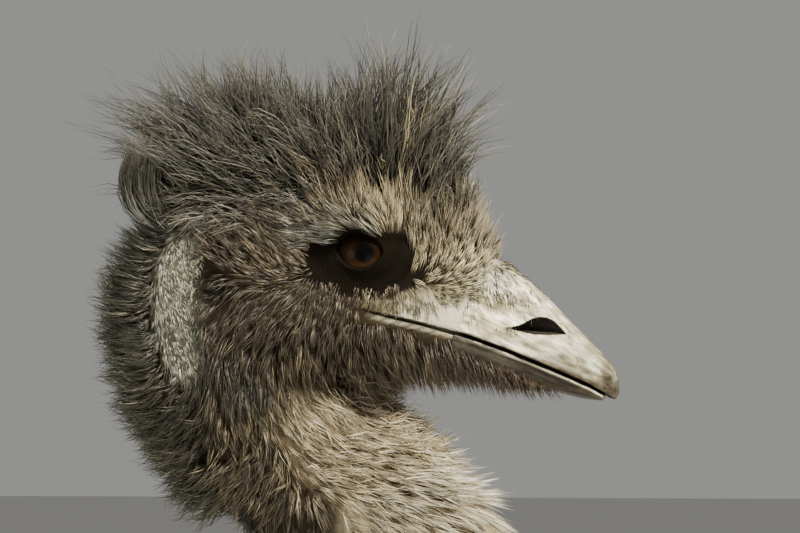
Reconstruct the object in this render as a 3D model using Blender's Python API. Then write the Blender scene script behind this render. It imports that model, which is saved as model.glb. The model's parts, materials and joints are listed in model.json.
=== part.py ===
"""A life-size adult emu, standing still with its neck drawn back.

Units are metres. The bird faces +X with +Z up, and its left side is at +Y. It is laid out
round the vertical line through its hips and then moved along X by CENTRE_SHIFT, so that the
origin ends on the floor under the middle of the whole bird.

Each feathered solid is a smooth core at about half of the plumage's depth, with flat tapered
locks of feathers grown on it and joined to it.
"""

import math
import random
from dataclasses import dataclass

import bmesh
import bpy
from mathutils import Matrix, Vector
from mathutils.bvhtree import BVHTree
from mathutils.kdtree import KDTree

# Driving dimensions
CENTRE_SHIFT = -0.01500
SEAM_GAP = 0.0003
SLIVER = 0.00002
EYE_FORWARD = 0.285
EYE_HEIGHT = 1.50
SPINE_HEIGHT = 0.868
TORSO_REAR = -0.375
TORSO_LENGTH = 0.715
TORSO_HALF_HEIGHT = 0.182
TORSO_HALF_WIDTH = 0.160
HIP_SPREAD = 0.105
STRIDE = 0.030

# The core's share of the plumage's depth, and how square its cross-sections are
CORE_DEPTH = 0.45
SECTION_POWER = 2.15

# The head's plumage lies flat on its sides, so its core hardly grows sideways
HEAD_COAT_SIDEWAYS = 0.1

# How finely the round forms are faceted
TORSO_SIDES, TORSO_RINGS = 20, 13
NECK_SIDES, NECK_RINGS = 14, 5
HEAD_SIDES, HEAD_RINGS = 20, 16
BILL_SIDES = 9

# Locks of feathers: how deep their roots are sunk, how thick the body's are, and the share of
# their width and thickness that they have along them, before the tip
ROOT_DEPTH = 0.0045
THICK = 0.010
LOCK_TAPER = (0.86, 1.00, 0.62)
HEAD_LOCK_THICKNESS = 0.0055

# How much more a lock's thin edges and its tip are cleared than its faces are
EDGE_CLEARANCE = 8
TIP_CLEARANCE = 3

# Eyes: the ball, the ring of its lids and the hollow of the face round them
EYE_RADIUS = 0.0150
EYE_ALONG = 0.0058
EYE_OFF_MIDDLE = 0.0215
LID_RING_RADIUS = 0.0112
LID_THICKNESS = 0.0024
LID_STRETCH = 1.22
LID_STANDOFF = 0.0105
EYE_HOLLOW_RADII = (0.0235, 0.0120, 0.0150)
EYE_HOLLOW_OUT = 0.0235

# The slot between the jaws, as (along, up, half height) in millimetres from the eye's middle,
# and its half width, which is more than the head's
MOUTH_SLOT = ((1.0, -22.2, 0.25), (12.0, -24.4, 0.7), (30.0, -28.9, 0.9), (52.0, -35.6, 1.1))
MOUTH_REACH = 0.05

# The nostrils: ellipsoids sunk in the sides of the bill
NOSTRIL_RADII = (0.0125, 0.0060, 0.0042)
NOSTRIL_TILT = 14
NOSTRIL_PLACE = (0.0725, 0.0138, -0.0325)

SIDES = {"right": -1.0, "left": 1.0}


@dataclass(frozen=True)
class Station:
    """A cross-section of a body form, in the bird's middle plane.

    x and z place its middle, side is the half width, and back and front are its reach
    towards the back of the bird and towards its throat or belly. coat is the depth of
    the plumage over that skin.
    """

    x: float
    z: float
    side: float
    back: float
    front: float
    coat: float = 0.0

    def values(self):
        return (self.x, self.z, self.side, self.back, self.front, self.coat)


@dataclass(frozen=True)
class LockRows:
    """Rows of locks down both sides of the body, between two places along it.

    rows holds degrees round from the spine. A lock leaves the body at rise[0] degrees and ends
    at rise[1] degrees to it, and droop is how far its free end hangs straight down.
    """

    start: float
    end: float
    columns: int
    rows: tuple
    length: float
    width: float
    rise: tuple
    droop: float
    seed: int


@dataclass(frozen=True)
class LockRings:
    """Rings of locks round the neck, between two places along it.

    reach is how many degrees round from the nape they grow.
    """

    start: float
    end: float
    rings: int
    count: int
    length: float
    width: float
    seed: int
    reach: float = 180


@dataclass(frozen=True)
class Toe:
    """A toe: degrees out from the middle one, length, radius at its root, joints and claw."""

    spread: float
    length: float
    radius: float
    joints: int
    claw: float


def torso_station(share, top, bottom, width, coat, lift=0.0):
    """A torso section at a share of the torso's length, sized by shares of its half sizes."""
    return Station(
        TORSO_REAR + share * TORSO_LENGTH,
        SPINE_HEIGHT + lift,
        width * TORSO_HALF_WIDTH,
        top * TORSO_HALF_HEIGHT,
        bottom * TORSO_HALF_HEIGHT,
        coat,
    )


def head_station(along, up, side, back, front, coat=0.0):
    """A head section placed from the eye's middle, in millimetres as a head is measured."""
    return Station(
        EYE_FORWARD + along / 1000,
        EYE_HEIGHT + up / 1000,
        side / 1000,
        back / 1000,
        front / 1000,
        coat / 1000,
    )


TORSO = [
    torso_station(0.00, 0.06, 0.06, 0.06, 0.030, -0.020),
    torso_station(0.05, 0.32, 0.28, 0.32, 0.050, -0.014),
    torso_station(0.14, 0.58, 0.50, 0.54, 0.058, -0.006),
    torso_station(0.28, 0.82, 0.77, 0.82, 0.050),
    torso_station(0.44, 0.98, 0.95, 0.98, 0.044),
    torso_station(0.58, 1.00, 1.00, 1.00, 0.044),
    torso_station(0.72, 0.95, 0.97, 0.96, 0.044),
    torso_station(0.84, 0.82, 0.85, 0.84, 0.044, 0.004),
    torso_station(0.93, 0.62, 0.64, 0.62, 0.042, 0.010),
    torso_station(0.98, 0.38, 0.38, 0.38, 0.036, 0.016),
    torso_station(1.00, 0.08, 0.08, 0.08, 0.030, 0.018),
]
TAIL_END = 2.0

NECK = [
    Station(0.150, 0.905, 0.098, 0.100, 0.110, 0.030),
    Station(0.228, 0.952, 0.092, 0.090, 0.100, 0.040),
    Station(0.292, 1.018, 0.074, 0.074, 0.080, 0.046),
    Station(0.338, 1.105, 0.056, 0.056, 0.058, 0.040),
    Station(0.361, 1.200, 0.045, 0.045, 0.046, 0.030),
    Station(0.353, 1.290, 0.039, 0.039, 0.040, 0.023),
    Station(0.317, 1.362, 0.036, 0.036, 0.036, 0.018),
    Station(0.266, 1.413, 0.034, 0.034, 0.034, 0.015),
    Station(0.238, 1.448, 0.034, 0.034, 0.032, 0.014),
    Station(0.229, 1.486, 0.033, 0.033, 0.031, 0.013),
    Station(0.236, 1.512, 0.024, 0.020, 0.020, 0.010),
]
NECK_BASE, NECK_LOW, NECK_HIGH, NECK_TOP = 2.0, 3.9, 5.6, 6.85

HEAD = [
    head_station(-77.0, -5.0, 2.0, 2.0, 2.0, 10),
    head_station(-73.0, -6.0, 17.0, 14.0, 16.0, 12),
    head_station(-62.0, -7.5, 28.5, 27.0, 32.0, 16),
    head_station(-42.0, -10.0, 35.5, 41.0, 40.0, 20),
    head_station(-20.0, -15.0, 37.0, 49.0, 36.0, 20),
    head_station(0.0, -20.8, 35.0, 52.0, 26.0, 16),
    head_station(16.0, -24.9, 31.5, 48.0, 16.5, 12),
    head_station(30.0, -28.2, 26.5, 41.0, 15.0, 8),
    head_station(43.0, -31.8, 21.0, 32.5, 14.5, 2),
    head_station(50.0, -34.2, 18.6, 31.0, 13.5),
    head_station(62.0, -38.7, 15.6, 26.5, 12.0),
    head_station(75.0, -44.2, 12.9, 20.5, 10.0),
    head_station(86.0, -49.0, 10.5, 15.6, 8.0),
    head_station(94.0, -52.7, 8.2, 12.2, 6.2),
    head_station(99.5, -56.0, 5.6, 8.6, 3.4),
    head_station(103.0, -58.3, 2.0, 3.0, 1.0),
]
FACE_END, BILL_START, BILL_LOWER_END, BILL_END = 8.0, 8.05, 14.0, 15.0
BILL_RINGS_UPPER, BILL_RINGS_LOWER = 11, 9

# Head tufts in millimetres from the eye's middle, as (place on the head, degrees round from
# the crown, tip along, tip up, tip aside, width, bow). Those off the middle grow on both sides.
CREST = [
    (6.9, 0, 53, 40, 0, 15, 0.5),
    (6.3, 14, 50, 60, 9, 15, 0.4),
    (6.0, 0, 44, 79, 0, 15, 0.3),
    (5.5, 24, 33, 85, 13, 16, 0.3),
    (5.0, 0, 17, 80, 0, 17, 0.35),
    (4.6, 30, 6, 72, 20, 18, 0.4),
    (4.0, 0, -15, 74, 2, 18, 0.45),
    (3.6, 30, -34, 73, 16, 18, 0.5),
    (3.1, 0, -56, 77, 0, 19, 0.5),
    (2.6, 32, -78, 70, 14, 19, 0.6),
    (2.2, 0, -108, 60, 3, 20, 0.6),
    (2.0, 48, -100, 34, 20, 19, 0.6),
    (1.5, 0, -110, 22, 0, 19, 0.5),
    (1.4, 55, -106, 0, 18, 18, 0.5),
]
CHEEK = [
    (3.2, 118, -44, -66, 27, 17, 0.3),
    (4.3, 124, -16, -68, 29, 16, 0.25),
    (5.3, 138, 12, -60, 22, 14, 0.25),
    (6.4, 150, 34, -58, 12, 13, 0.3),
]

# Locks on the torso and tail
FLANK_ROWS = LockRows(2.5, 8.7, 5, (10, 40, 70, 100, 130, 160), 0.150, 0.086, (15, 3), 0.3, 31)
CHEST_ROWS = LockRows(8.6, 9.8, 1, (62, 98, 134), 0.115, 0.060, (15, 4), 0.2, 32)
RUMP_ROWS = LockRows(0.6, 2.1, 2, (20, 62, 104), 0.165, 0.078, (14, 6), 0.6, 41)

# Locks on each length of the neck, and on the nape where the head's node reaches down it
NECK_RINGS_OF_LOCKS = {
    "neck_upper": LockRings(NECK_HIGH, NECK_TOP, 3, 7, 0.052, 0.030, 5),
    "neck_middle": LockRings(NECK_LOW, NECK_HIGH, 3, 7, 0.076, 0.042, 6),
    "neck_lower": LockRings(NECK_BASE, NECK_LOW, 3, 8, 0.108, 0.060, 7),
}
NAPE_LOCKS = LockRings(NECK_TOP + 0.35, NECK_TOP + 2.0, 2, 8, 0.042, 0.026, 3, 100)

# Legs: x, height, share of the stride, fore-and-aft radius and sideways radius
LEG = [
    (0.030, 0.820, 0.10, 0.098, 0.066),
    (-0.008, 0.690, 0.25, 0.084, 0.059),
    (-0.060, 0.560, 0.50, 0.056, 0.043),
    (-0.102, 0.465, 0.70, 0.034, 0.029),
    (-0.118, 0.420, 0.75, 0.031, 0.0265),
    (-0.110, 0.385, 0.78, 0.025, 0.0215),
    (-0.085, 0.270, 0.85, 0.0195, 0.0180),
    (-0.058, 0.150, 0.93, 0.0185, 0.0175),
    (-0.040, 0.075, 0.98, 0.0210, 0.0205),
    (-0.034, 0.018, 1.00, 0.0225, 0.0235),
]
DRUM_END = 3.0
DRUM_LOCK_PLACES = (0.62, 1.25, 1.9)
DRUM_LOCK_LENGTHS = (0.105, 0.095, 0.080)
DRUM_LOCK_WIDTHS = (0.056, 0.047, 0.035)
DRUM_SIDES, SHANK_SIDES, TOE_SIDES = 12, 9, 8
SCUTES, SCUTES_START, SCUTES_END = 11, 4.9, 8.5
PLATE_RISE = 0.10
PLATE_LIP = 0.18
TOES = {
    "middle": Toe(0.0, 0.134, 0.0150, 8, 0.032),
    "inner": Toe(-32.0, 0.096, 0.0125, 6, 0.026),
    "outer": Toe(32.0, 0.102, 0.0125, 6, 0.026),
}
TOE_TAPER = 0.40
TOE_PLATE_RISE = 0.0022
TURN_OUT = 4.0
SOLE_DEPTH = 0.0025
CLAW_DEPTH = 0.46
CLAW_TIP_RADIUS = 0.0009

# The pad under the shank: how far it stands forward, how far it is sunk, and its radii
PAD_FORWARD = 0.006
PAD_SINK = 0.004
PAD_RADII = (0.031, 0.029, 0.0205)

# Wings: x, y and height of their middle, then their half height and half thickness
WING = [
    (0.168, 0.160, 0.940, 0.011, 0.010),
    (0.115, 0.180, 0.915, 0.021, 0.013),
    (0.055, 0.189, 0.885, 0.018, 0.011),
    (-0.005, 0.190, 0.858, 0.006, 0.005),
]
WING_LOCK_PLACES = (0.7, 1.3, 1.9, 2.5)
WING_LOCK_SIZE = (0.085, 0.026, 0.006)
WING_POCKET_GAPS = 2.6

# Colour and roughness of each kind of surface
PLUMAGE = ((0.13, 0.10, 0.07), 0.8)
HORN = ((0.42, 0.38, 0.28), 0.45)
SCALES = ((0.16, 0.14, 0.12), 0.55)
CLAW_HORN = ((0.05, 0.045, 0.04), 0.4)
EYE_GLOSS = ((0.12, 0.04, 0.015), 0.08)


def reset_scene():
    for obj in list(bpy.data.objects):
        bpy.data.objects.remove(obj, do_unlink=True)


def material(name, colour, roughness, metallic=0.0):
    made = bpy.data.materials.new(name)
    made.use_nodes = True
    shader = made.node_tree.nodes["Principled BSDF"]
    shader.inputs["Base Color"].default_value = (*colour, 1.0)
    shader.inputs["Roughness"].default_value = roughness
    shader.inputs["Metallic"].default_value = metallic
    return made


def blend_values(rows, place):
    """Catmull-Rom interpolation of rows of numbers at a place from 0 to len(rows) - 1."""
    first = min(int(place), len(rows) - 2)
    t = place - first
    before = rows[max(first - 1, 0)]
    start = rows[first]
    end = rows[first + 1]
    after = rows[min(first + 2, len(rows) - 1)]
    return [
        0.5 * (2 * b + (c - a) * t + (2 * a - 5 * b + 4 * c - d) * t**2 + (3 * b - a - 3 * c + d) * t**3)
        for a, b, c, d in zip(before, start, end, after)
    ]


def station_at(stations, place):
    return Station(*blend_values([s.values() for s in stations], place))


def heading_at(stations, place):
    """The direction of the form's middle line, towards the bill."""
    step = 0.02
    low = station_at(stations, max(place - step, 0))
    high = station_at(stations, min(place + step, len(stations) - 1))
    return Vector((high.x - low.x, 0, high.z - low.z)).normalized()


def section(stations, place, sides, grow, upright=False):
    """The ring of points of one cross-section, grown outwards by a share of the coat."""
    sideways = HEAD_COAT_SIDEWAYS if stations is HEAD else 1.0
    here = station_at(stations, place)
    heading = Vector((1, 0, 0)) if upright else heading_at(stations, place)
    back = Vector((-heading.z, 0, heading.x))
    middle = Vector((here.x, 0, here.z))
    extra = grow * here.coat
    points = []
    for i in range(sides):
        angle = 2 * math.pi * i / sides
        across = math.copysign(abs(math.cos(angle)) ** (2 / SECTION_POWER), math.cos(angle))
        up = math.copysign(abs(math.sin(angle)) ** (2 / SECTION_POWER), math.sin(angle))
        reach = here.back if up > 0 else here.front
        points.append(
            middle
            + Vector((0, 1, 0)) * across * (here.side + extra * sideways)
            + back * up * (reach + extra)
        )
    return points


def loft(name, rings, tip=None):
    """A closed mesh object through rings of points, capped flat or drawn out to a tip."""
    shape = bmesh.new()
    rows = [[shape.verts.new(p) for p in ring] for ring in rings]
    count = len(rows[0])
    for low, high in zip(rows, rows[1:]):
        for i in range(count):
            j = (i + 1) % count
            shape.faces.new((low[i], low[j], high[j], high[i]))
    shape.faces.new(rows[0])
    if tip is None:
        shape.faces.new(rows[-1])
    else:
        point = shape.verts.new(tip)
        for i in range(count):
            shape.faces.new((rows[-1][i], rows[-1][(i + 1) % count], point))
    bmesh.ops.recalc_face_normals(shape, faces=shape.faces)
    bmesh.ops.triangulate(shape, faces=shape.faces, quad_method="FIXED")
    mesh = bpy.data.meshes.new(name)
    shape.to_mesh(mesh)
    shape.free()
    obj = bpy.data.objects.new(name, mesh)
    bpy.context.scene.collection.objects.link(obj)
    return obj


def body_loft(name, stations, start, end, rings, sides, grow, upright=False):
    places = [start + (end - start) * i / (rings - 1) for i in range(rings)]
    return loft(name, [section(stations, p, sides, grow, upright=upright) for p in places])


def apply_modifiers(obj):
    evaluated = obj.evaluated_get(bpy.context.evaluated_depsgraph_get())
    mesh = bpy.data.meshes.new_from_object(evaluated)
    obj.modifiers.clear()
    obj.data = mesh


def keep_largest(obj):
    """Leaves only the biggest closed surface, and drops scraps and sealed hollows."""
    shape = bmesh.new()
    shape.from_mesh(obj.data)
    left = set(shape.faces)
    islands = []
    while left:
        island = [left.pop()]
        for face in island:
            for edge in face.edges:
                for other in edge.link_faces:
                    if other in left:
                        left.remove(other)
                        island.append(other)
        islands.append(island)
    islands.sort(key=box_volume)
    loose = [face for island in islands[:-1] for face in island]
    bmesh.ops.delete(shape, geom=loose, context="FACES")
    shape.to_mesh(obj.data)
    shape.free()


def part_touching(obj):
    """Draws apart corners that touch without an edge between them, as a Boolean can leave."""
    vertices = obj.data.vertices
    tree = KDTree(len(vertices))
    for vert in vertices:
        tree.insert(vert.co, vert.index)
    tree.balance()
    shape = bmesh.new()
    shape.from_mesh(obj.data)
    shape.verts.ensure_lookup_table()
    for vert in shape.verts:
        linked = {edge.other_vert(vert).index for edge in vert.link_edges}
        close = {index for _, index, _ in tree.find_range(vertices[vert.index].co, SLIVER / 10)}
        if close - linked - {vert.index}:
            middle = sum((vertices[index].co for index in linked), Vector()) / len(linked)
            vert.co += (middle - vert.co).normalized() * SLIVER
    shape.to_mesh(obj.data)
    shape.free()


def box_volume(faces):
    points = [vert.co for face in faces for vert in face.verts]
    spans = [max(p[k] for p in points) - min(p[k] for p in points) for k in range(3)]
    return spans[0] * spans[1] * spans[2]


def combine(obj, others, operation, solver="EXACT"):
    """Joins others to obj, or cuts them from it, with one Boolean, and removes them."""
    group = bpy.data.collections.new("operands")
    for other in others:
        for home in list(other.users_collection):
            home.objects.unlink(other)
        group.objects.link(other)
    boolean = obj.modifiers.new(operation.lower(), "BOOLEAN")
    boolean.operation = operation
    boolean.operand_type = "COLLECTION"
    boolean.collection = group
    boolean.solver = solver
    bpy.context.view_layer.update()
    apply_modifiers(obj)
    for other in others:
        bpy.data.objects.remove(other, do_unlink=True)
    bpy.data.collections.remove(group)
    keep_largest(obj)
    part_touching(obj)
    keep_largest(obj)


def ball(name, centre, radius, segments=14, rings=8):
    shape = bmesh.new()
    bmesh.ops.create_uvsphere(shape, u_segments=segments, v_segments=rings, radius=radius)
    mesh = bpy.data.meshes.new(name)
    shape.to_mesh(mesh)
    shape.free()
    obj = bpy.data.objects.new(name, mesh)
    bpy.context.scene.collection.objects.link(obj)
    mesh.transform(Matrix.Translation(centre))
    return obj


@dataclass(frozen=True)
class Lock:
    """A flat tapered lock of feathers: its middle line, what its ridge faces, and its size."""

    line: tuple
    ridge: tuple
    width: float
    thickness: float


def lock_form(lock, swell=0.0):
    """The lock's mesh, or a copy swollen by a clearance for cutting its neighbours back."""
    rings = []
    for i, taper in enumerate(LOCK_TAPER):
        ahead = (lock.line[i + 1] - lock.line[max(i - 1, 0)]).normalized()
        across = ahead.cross(lock.ridge[i]).normalized()
        up = across.cross(ahead)
        half = across * (lock.width / 2 * taper + EDGE_CLEARANCE * swell)
        under = lock.line[i] - up * swell
        rings.append([under + half, under - half, lock.line[i] + up * (lock.thickness * taper + swell)])
    end = (lock.line[-1] - lock.line[-2]).normalized()
    return loft("lock", rings, lock.line[-1] + end * TIP_CLEARANCE * swell)


def ground_of(*objs):
    """A surface to grow locks on, from one or more closed cores."""
    points, faces = [], []
    for obj in objs:
        start = len(points)
        points += [v.co.copy() for v in obj.data.vertices]
        faces += [[start + i for i in face.vertices] for face in obj.data.polygons]
    return BVHTree.FromPolygons(points, faces)


def lying_lock(ground, root, lie, length, width, thickness, rise, droop=0.0):
    """A lock that leaves the ground at rise[0] degrees and ends at rise[1] degrees to it.

    lie is the way the feathers lie, and droop is how far the free end turns to hang straight
    down, from 0 to 1.
    """
    spot, normal = ground.find_nearest(root)[:2]
    steps = len(LOCK_TAPER)
    line = [spot - normal * ROOT_DEPTH]
    ridge = [normal]
    for i in range(steps):
        share = i / (steps - 1)
        normal = ground.find_nearest(line[-1])[1]
        flat = (lie - normal * lie.dot(normal)).normalized()
        angle = math.radians(rise[0] + (rise[1] - rise[0]) * share)
        heading = flat * math.cos(angle) + normal * math.sin(angle)
        heading = heading.lerp(Vector((0, 0, -1)), droop * share).normalized()
        line.append(line[-1] + heading * length / steps)
        ridge.append(normal)
    return Lock(tuple(line), tuple(ridge), width, thickness)


def aimed_lock(ground, root, tip, width, thickness, bow=0.5):
    """A lock that leaves the ground square to it and bends over to a given tip."""
    spot, normal = ground.find_nearest(root)[:2]
    start = spot - normal * ROOT_DEPTH
    elbow = start + normal * (tip - start).length * bow
    steps = len(LOCK_TAPER)
    line, ridge = [], []
    for i in range(steps + 1):
        t = i / steps
        line.append(start * (1 - t) ** 2 + elbow * 2 * t * (1 - t) + tip * t**2)
        ridge.append((elbow - start.lerp(tip, 0.5)).normalized() * 0.6 + Vector((0, 0, 0.1)))
    return Lock(tuple(line), tuple(ridge), width, thickness)


def grow(obj, locks):
    """Joins locks to obj. The exact solver leaves open edges where many thin locks cross."""
    combine(obj, [lock_form(lock) for lock in locks], "UNION", "MANIFOLD")


def cut_clear(obj, locks, cores=()):
    """Cuts obj back from its neighbours' locks and cores by the seam gap."""
    cutters = [lock_form(lock, 2 * SEAM_GAP) for lock in locks]
    combine(obj, [*cutters, *cores], "DIFFERENCE", "MANIFOLD")


def surface_spot(stations, place, around, upright=False):
    """A point on a core: place along it, and degrees round from its back, positive to the left."""
    here = station_at(stations, place)
    heading = Vector((1, 0, 0)) if upright else heading_at(stations, place)
    back = Vector((-heading.z, 0, heading.x))
    angle = math.radians(around)
    reach = here.back if math.cos(angle) > 0 else here.front
    extra = CORE_DEPTH * here.coat
    rise = back * math.cos(angle) * (reach + extra)
    aside = Vector((0, math.sin(angle) * (here.side + extra), 0))
    return Vector((here.x, 0, here.z)) + rise + aside


def torso_locks(ground, coat):
    """Locks down both sides of the body from the parting along its spine, in staggered rows."""
    chance = random.Random(coat.seed)
    locks = []
    for k, around in enumerate(coat.rows):
        for i in range(coat.columns):
            stagger = 0.5 * (k % 2)
            place = coat.start + (coat.end - coat.start) * (i + 0.25 + stagger) / coat.columns
            for side in SIDES.values():
                turn = around + chance.uniform(-5, 5)
                root = surface_spot(TORSO, place + chance.uniform(-0.1, 0.1), side * turn, True)
                outward = 0.9 * side * max(math.cos(math.radians(around)), 0) ** 2
                lie = Vector((-0.85, outward, -0.75)).normalized()
                length = coat.length * chance.uniform(0.88, 1.12)
                hang = coat.droop * min(around / 90, 1) ** 2
                locks.append(lying_lock(ground, root, lie, length, coat.width, THICK, coat.rise, hang))
    return locks


def neck_locks(ground, coat):
    """Rings of locks that hang along the neck, and stand further out down its nape."""
    chance = random.Random(coat.seed)
    locks = []
    for i in range(coat.rings):
        place = coat.start + (coat.end - coat.start) * (i + 0.4) / coat.rings
        for k in range(coat.count):
            around = 360 * (k + 0.5 * (i % 2)) / coat.count + chance.uniform(-6, 6)
            if coat.reach < around < 360 - coat.reach:
                continue
            root = surface_spot(NECK, place + chance.uniform(-0.04, 0.04), around)
            heading = heading_at(NECK, place)
            nape = max(math.cos(math.radians(around)), 0) ** 2
            lie = -heading + Vector((0, 0, -0.25))
            rise = (24 + 22 * nape, 4 + 14 * nape)
            length = coat.length * chance.uniform(0.88, 1.12)
            thickness = 0.4 * THICK + 0.1 * coat.width
            locks.append(lying_lock(ground, root, lie, length, coat.width, thickness, rise))
    return locks


def eye_centre(side):
    return Vector((EYE_FORWARD + EYE_ALONG, side * EYE_OFF_MIDDLE, EYE_HEIGHT))


def eyeball(side_name):
    return ball(f"eye_{side_name}", eye_centre(SIDES[side_name]), EYE_RADIUS - SEAM_GAP)


def lid_ring(side):
    """A raised almond ring round the eye: the rims of the upper and lower lids."""
    bpy.ops.mesh.primitive_torus_add(
        major_segments=14,
        minor_segments=5,
        major_radius=LID_RING_RADIUS,
        minor_radius=LID_THICKNESS,
    )
    obj = bpy.context.active_object
    outward = Vector((0.12, side, 0.04)).normalized()
    turn = outward.to_track_quat("Z", "Y").to_matrix().to_4x4()
    place = eye_centre(side) + outward * LID_STANDOFF
    almond = Matrix.Diagonal((LID_STRETCH, 1.0, 1.0, 1))
    obj.data.transform(Matrix.Translation(place) @ turn @ almond)
    return obj


def eye_hollow(side):
    """The shallow hollow of the face that the eye sits in."""
    hollow = ball("eye_hollow", Vector((0, 0, 0)), 1.0)
    size = Matrix.Diagonal((*EYE_HOLLOW_RADII, 1))
    place = eye_centre(side) + Vector((0.001, side * EYE_HOLLOW_OUT, -0.001))
    hollow.data.transform(Matrix.Translation(place) @ size)
    return hollow


def mouth_cutter():
    """The slot between the jaws, from the bill's root back to the corner of the gape."""
    rings = []
    for along, up, half in MOUTH_SLOT:
        middle = Vector((EYE_FORWARD + along / 1000, 0, EYE_HEIGHT + up / 1000))
        corners = ((1, 1), (-1, 1), (-1, -1), (1, -1))
        rings.append([middle + Vector((0, y * MOUTH_REACH, z * half / 1000)) for y, z in corners])
    return loft("mouth_slot", rings)


def head_core():
    """The head and the top of the neck, with the hollows of the face and the rims of the lids."""
    obj = body_loft("head", HEAD, 0, FACE_END, HEAD_RINGS, HEAD_SIDES, CORE_DEPTH)
    last = len(NECK) - 1
    stub = body_loft("stub", NECK, past_seam(NECK_TOP), last, 5, NECK_SIDES, CORE_DEPTH)
    combine(obj, [stub], "UNION")
    hollows = [eye_hollow(side) for side in SIDES.values()]
    combine(obj, hollows, "DIFFERENCE")
    lids = [lid_ring(side) for side in SIDES.values()]
    combine(obj, lids, "UNION")
    return obj


def head_locks(ground):
    """The crest that stands up off the crown, and the tufts that hang from the cheeks."""
    locks = []
    for place, around, along, up, aside, width, bow in CREST + CHEEK:
        for side in SIDES.values() if around > 0 else [1.0]:
            root = surface_spot(HEAD, place, side * around)
            tip = Vector((EYE_FORWARD, 0, EYE_HEIGHT)) + Vector((along, side * aside, up)) / 1000
            locks.append(aimed_lock(ground, root, tip, width / 1000, HEAD_LOCK_THICKNESS, bow))
    return locks


def head(locks):
    """The head with its tufts, its eye sockets and the slot of its mouth."""
    obj = head_core()
    grow(obj, locks)
    sockets = [ball("socket", eye_centre(side), EYE_RADIUS) for side in SIDES.values()]
    combine(obj, [*sockets, mouth_cutter()], "DIFFERENCE", "MANIFOLD")
    return obj


def bill_half(name, end, upper):
    """One jaw's horn: the arch above the line of the mouth, or the trough below it."""
    rings = []
    count = BILL_RINGS_UPPER if upper else BILL_RINGS_LOWER
    gap = 0.0005 if upper else 0.0011
    for i in range(count):
        place = BILL_START + (end - BILL_START) * i / (count - 1)
        here = station_at(HEAD, place)
        heading = heading_at(HEAD, place)
        up = Vector((-heading.z, 0, heading.x))
        middle = Vector((here.x, 0, here.z))
        sign, reach = (1, here.back) if upper else (-1, here.front)
        width = here.side if upper else here.side * 0.9
        ring = []
        for k in range(BILL_SIDES):
            angle = math.pi * k / (BILL_SIDES - 1)
            across = math.copysign(abs(math.cos(angle)) ** 0.9, math.cos(angle))
            rise = math.sin(angle) ** (1.15 if upper else 0.8)
            level = gap + max(reach - gap, 0.0004) * rise
            ring.append(middle + Vector((0, across * width, 0)) + up * sign * level)
        rings.append(ring)
    return loft(name, rings)


def bill_upper():
    """The upper jaw with its two nostril hollows."""
    obj = bill_half("bill_upper", BILL_END, True)
    nostrils = []
    for side in SIDES.values():
        cutter = ball("nostril", Vector((0, 0, 0)), 1.0, 12, 8)
        turn = Matrix.Rotation(math.radians(NOSTRIL_TILT), 4, "Y")
        size = Matrix.Diagonal((*NOSTRIL_RADII, 1))
        along, aside, up = NOSTRIL_PLACE
        place = Vector((EYE_FORWARD + along, side * aside, EYE_HEIGHT + up))
        cutter.data.transform(Matrix.Translation(place) @ turn @ size)
        nostrils.append(cutter)
    combine(obj, nostrils, "DIFFERENCE")
    return obj


def beyond_seam(place):
    """A block that fills everything on the bill's side of a seam across the neck."""
    here = station_at(NECK, place)
    heading = heading_at(NECK, place)
    back = Vector((-heading.z, 0, heading.x))
    middle = Vector((here.x, 0, here.z)) + heading * 0.00001
    rings = []
    for ahead in (0, 0.15):
        centre = middle + heading * ahead
        corners = ((1, 1), (-1, 1), (-1, -1), (1, -1))
        rings.append([centre + Vector((0, 0.3 * y, 0)) + back * 0.25 * z for y, z in corners])
    return loft("beyond_seam", rings)


def past_seam(place):
    """The place on the neck that lies one seam gap further on."""
    here = station_at(NECK, place)
    ahead = station_at(NECK, place + 0.1)
    step = Vector((ahead.x - here.x, 0, ahead.z - here.z)).length
    return place + 0.1 * SEAM_GAP / step


def neck_core(name, start, end):
    return body_loft(name, NECK, past_seam(start), end, NECK_RINGS, NECK_SIDES, CORE_DEPTH)


def torso_core(name="torso"):
    last = len(TORSO) - 1
    obj = body_loft(name, TORSO, TAIL_END, last, TORSO_RINGS, TORSO_SIDES, CORE_DEPTH, True)
    base = body_loft("base", NECK, 0, NECK_BASE, 5, NECK_SIDES, CORE_DEPTH)
    combine(obj, [base], "UNION")
    combine(obj, [beyond_seam(NECK_BASE)], "DIFFERENCE")
    return obj


def tail_core():
    return body_loft("tail", TORSO, 0.0, TAIL_END - 0.003, 7, TORSO_SIDES, CORE_DEPTH, True)


def leg_point(side, place):
    """A point on one leg's middle line, and its two radii there."""
    x, height, share, fore, across = blend_values(LEG, place)
    return Vector((x - side * STRIDE * share, side * HIP_SPREAD, height)), fore, across


def leg_rings(side, places, sides):
    """Rings round a leg, from pairs of a place and how far its front plate stands out."""
    rings = []
    for place, plate in places:
        middle, fore, across = leg_point(side, place)
        before = leg_point(side, max(place - 0.02, 0))[0]
        after = leg_point(side, min(place + 0.02, len(LEG) - 1))[0]
        heading = (after - before).normalized()
        front = heading.cross(Vector((0, 1, 0))).normalized()
        ring = []
        for k in range(sides):
            angle = 2 * math.pi * (k + 0.5) / sides
            spot = Vector((0, math.cos(angle) * across, 0)) + front * math.sin(angle) * fore
            ring.append(middle + spot * (1 + plate * max(math.sin(angle), 0) ** 0.5))
        rings.append(ring)
    return rings


def spread_evenly(start, end, count):
    return [start + (end - start) * i / (count - 1) for i in range(count)]


def drum_core(side_name):
    places = [(place, 0) for place in spread_evenly(0, DRUM_END, 8)]
    return loft(f"leg_upper_{side_name}", leg_rings(SIDES[side_name], places, DRUM_SIDES))


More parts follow.
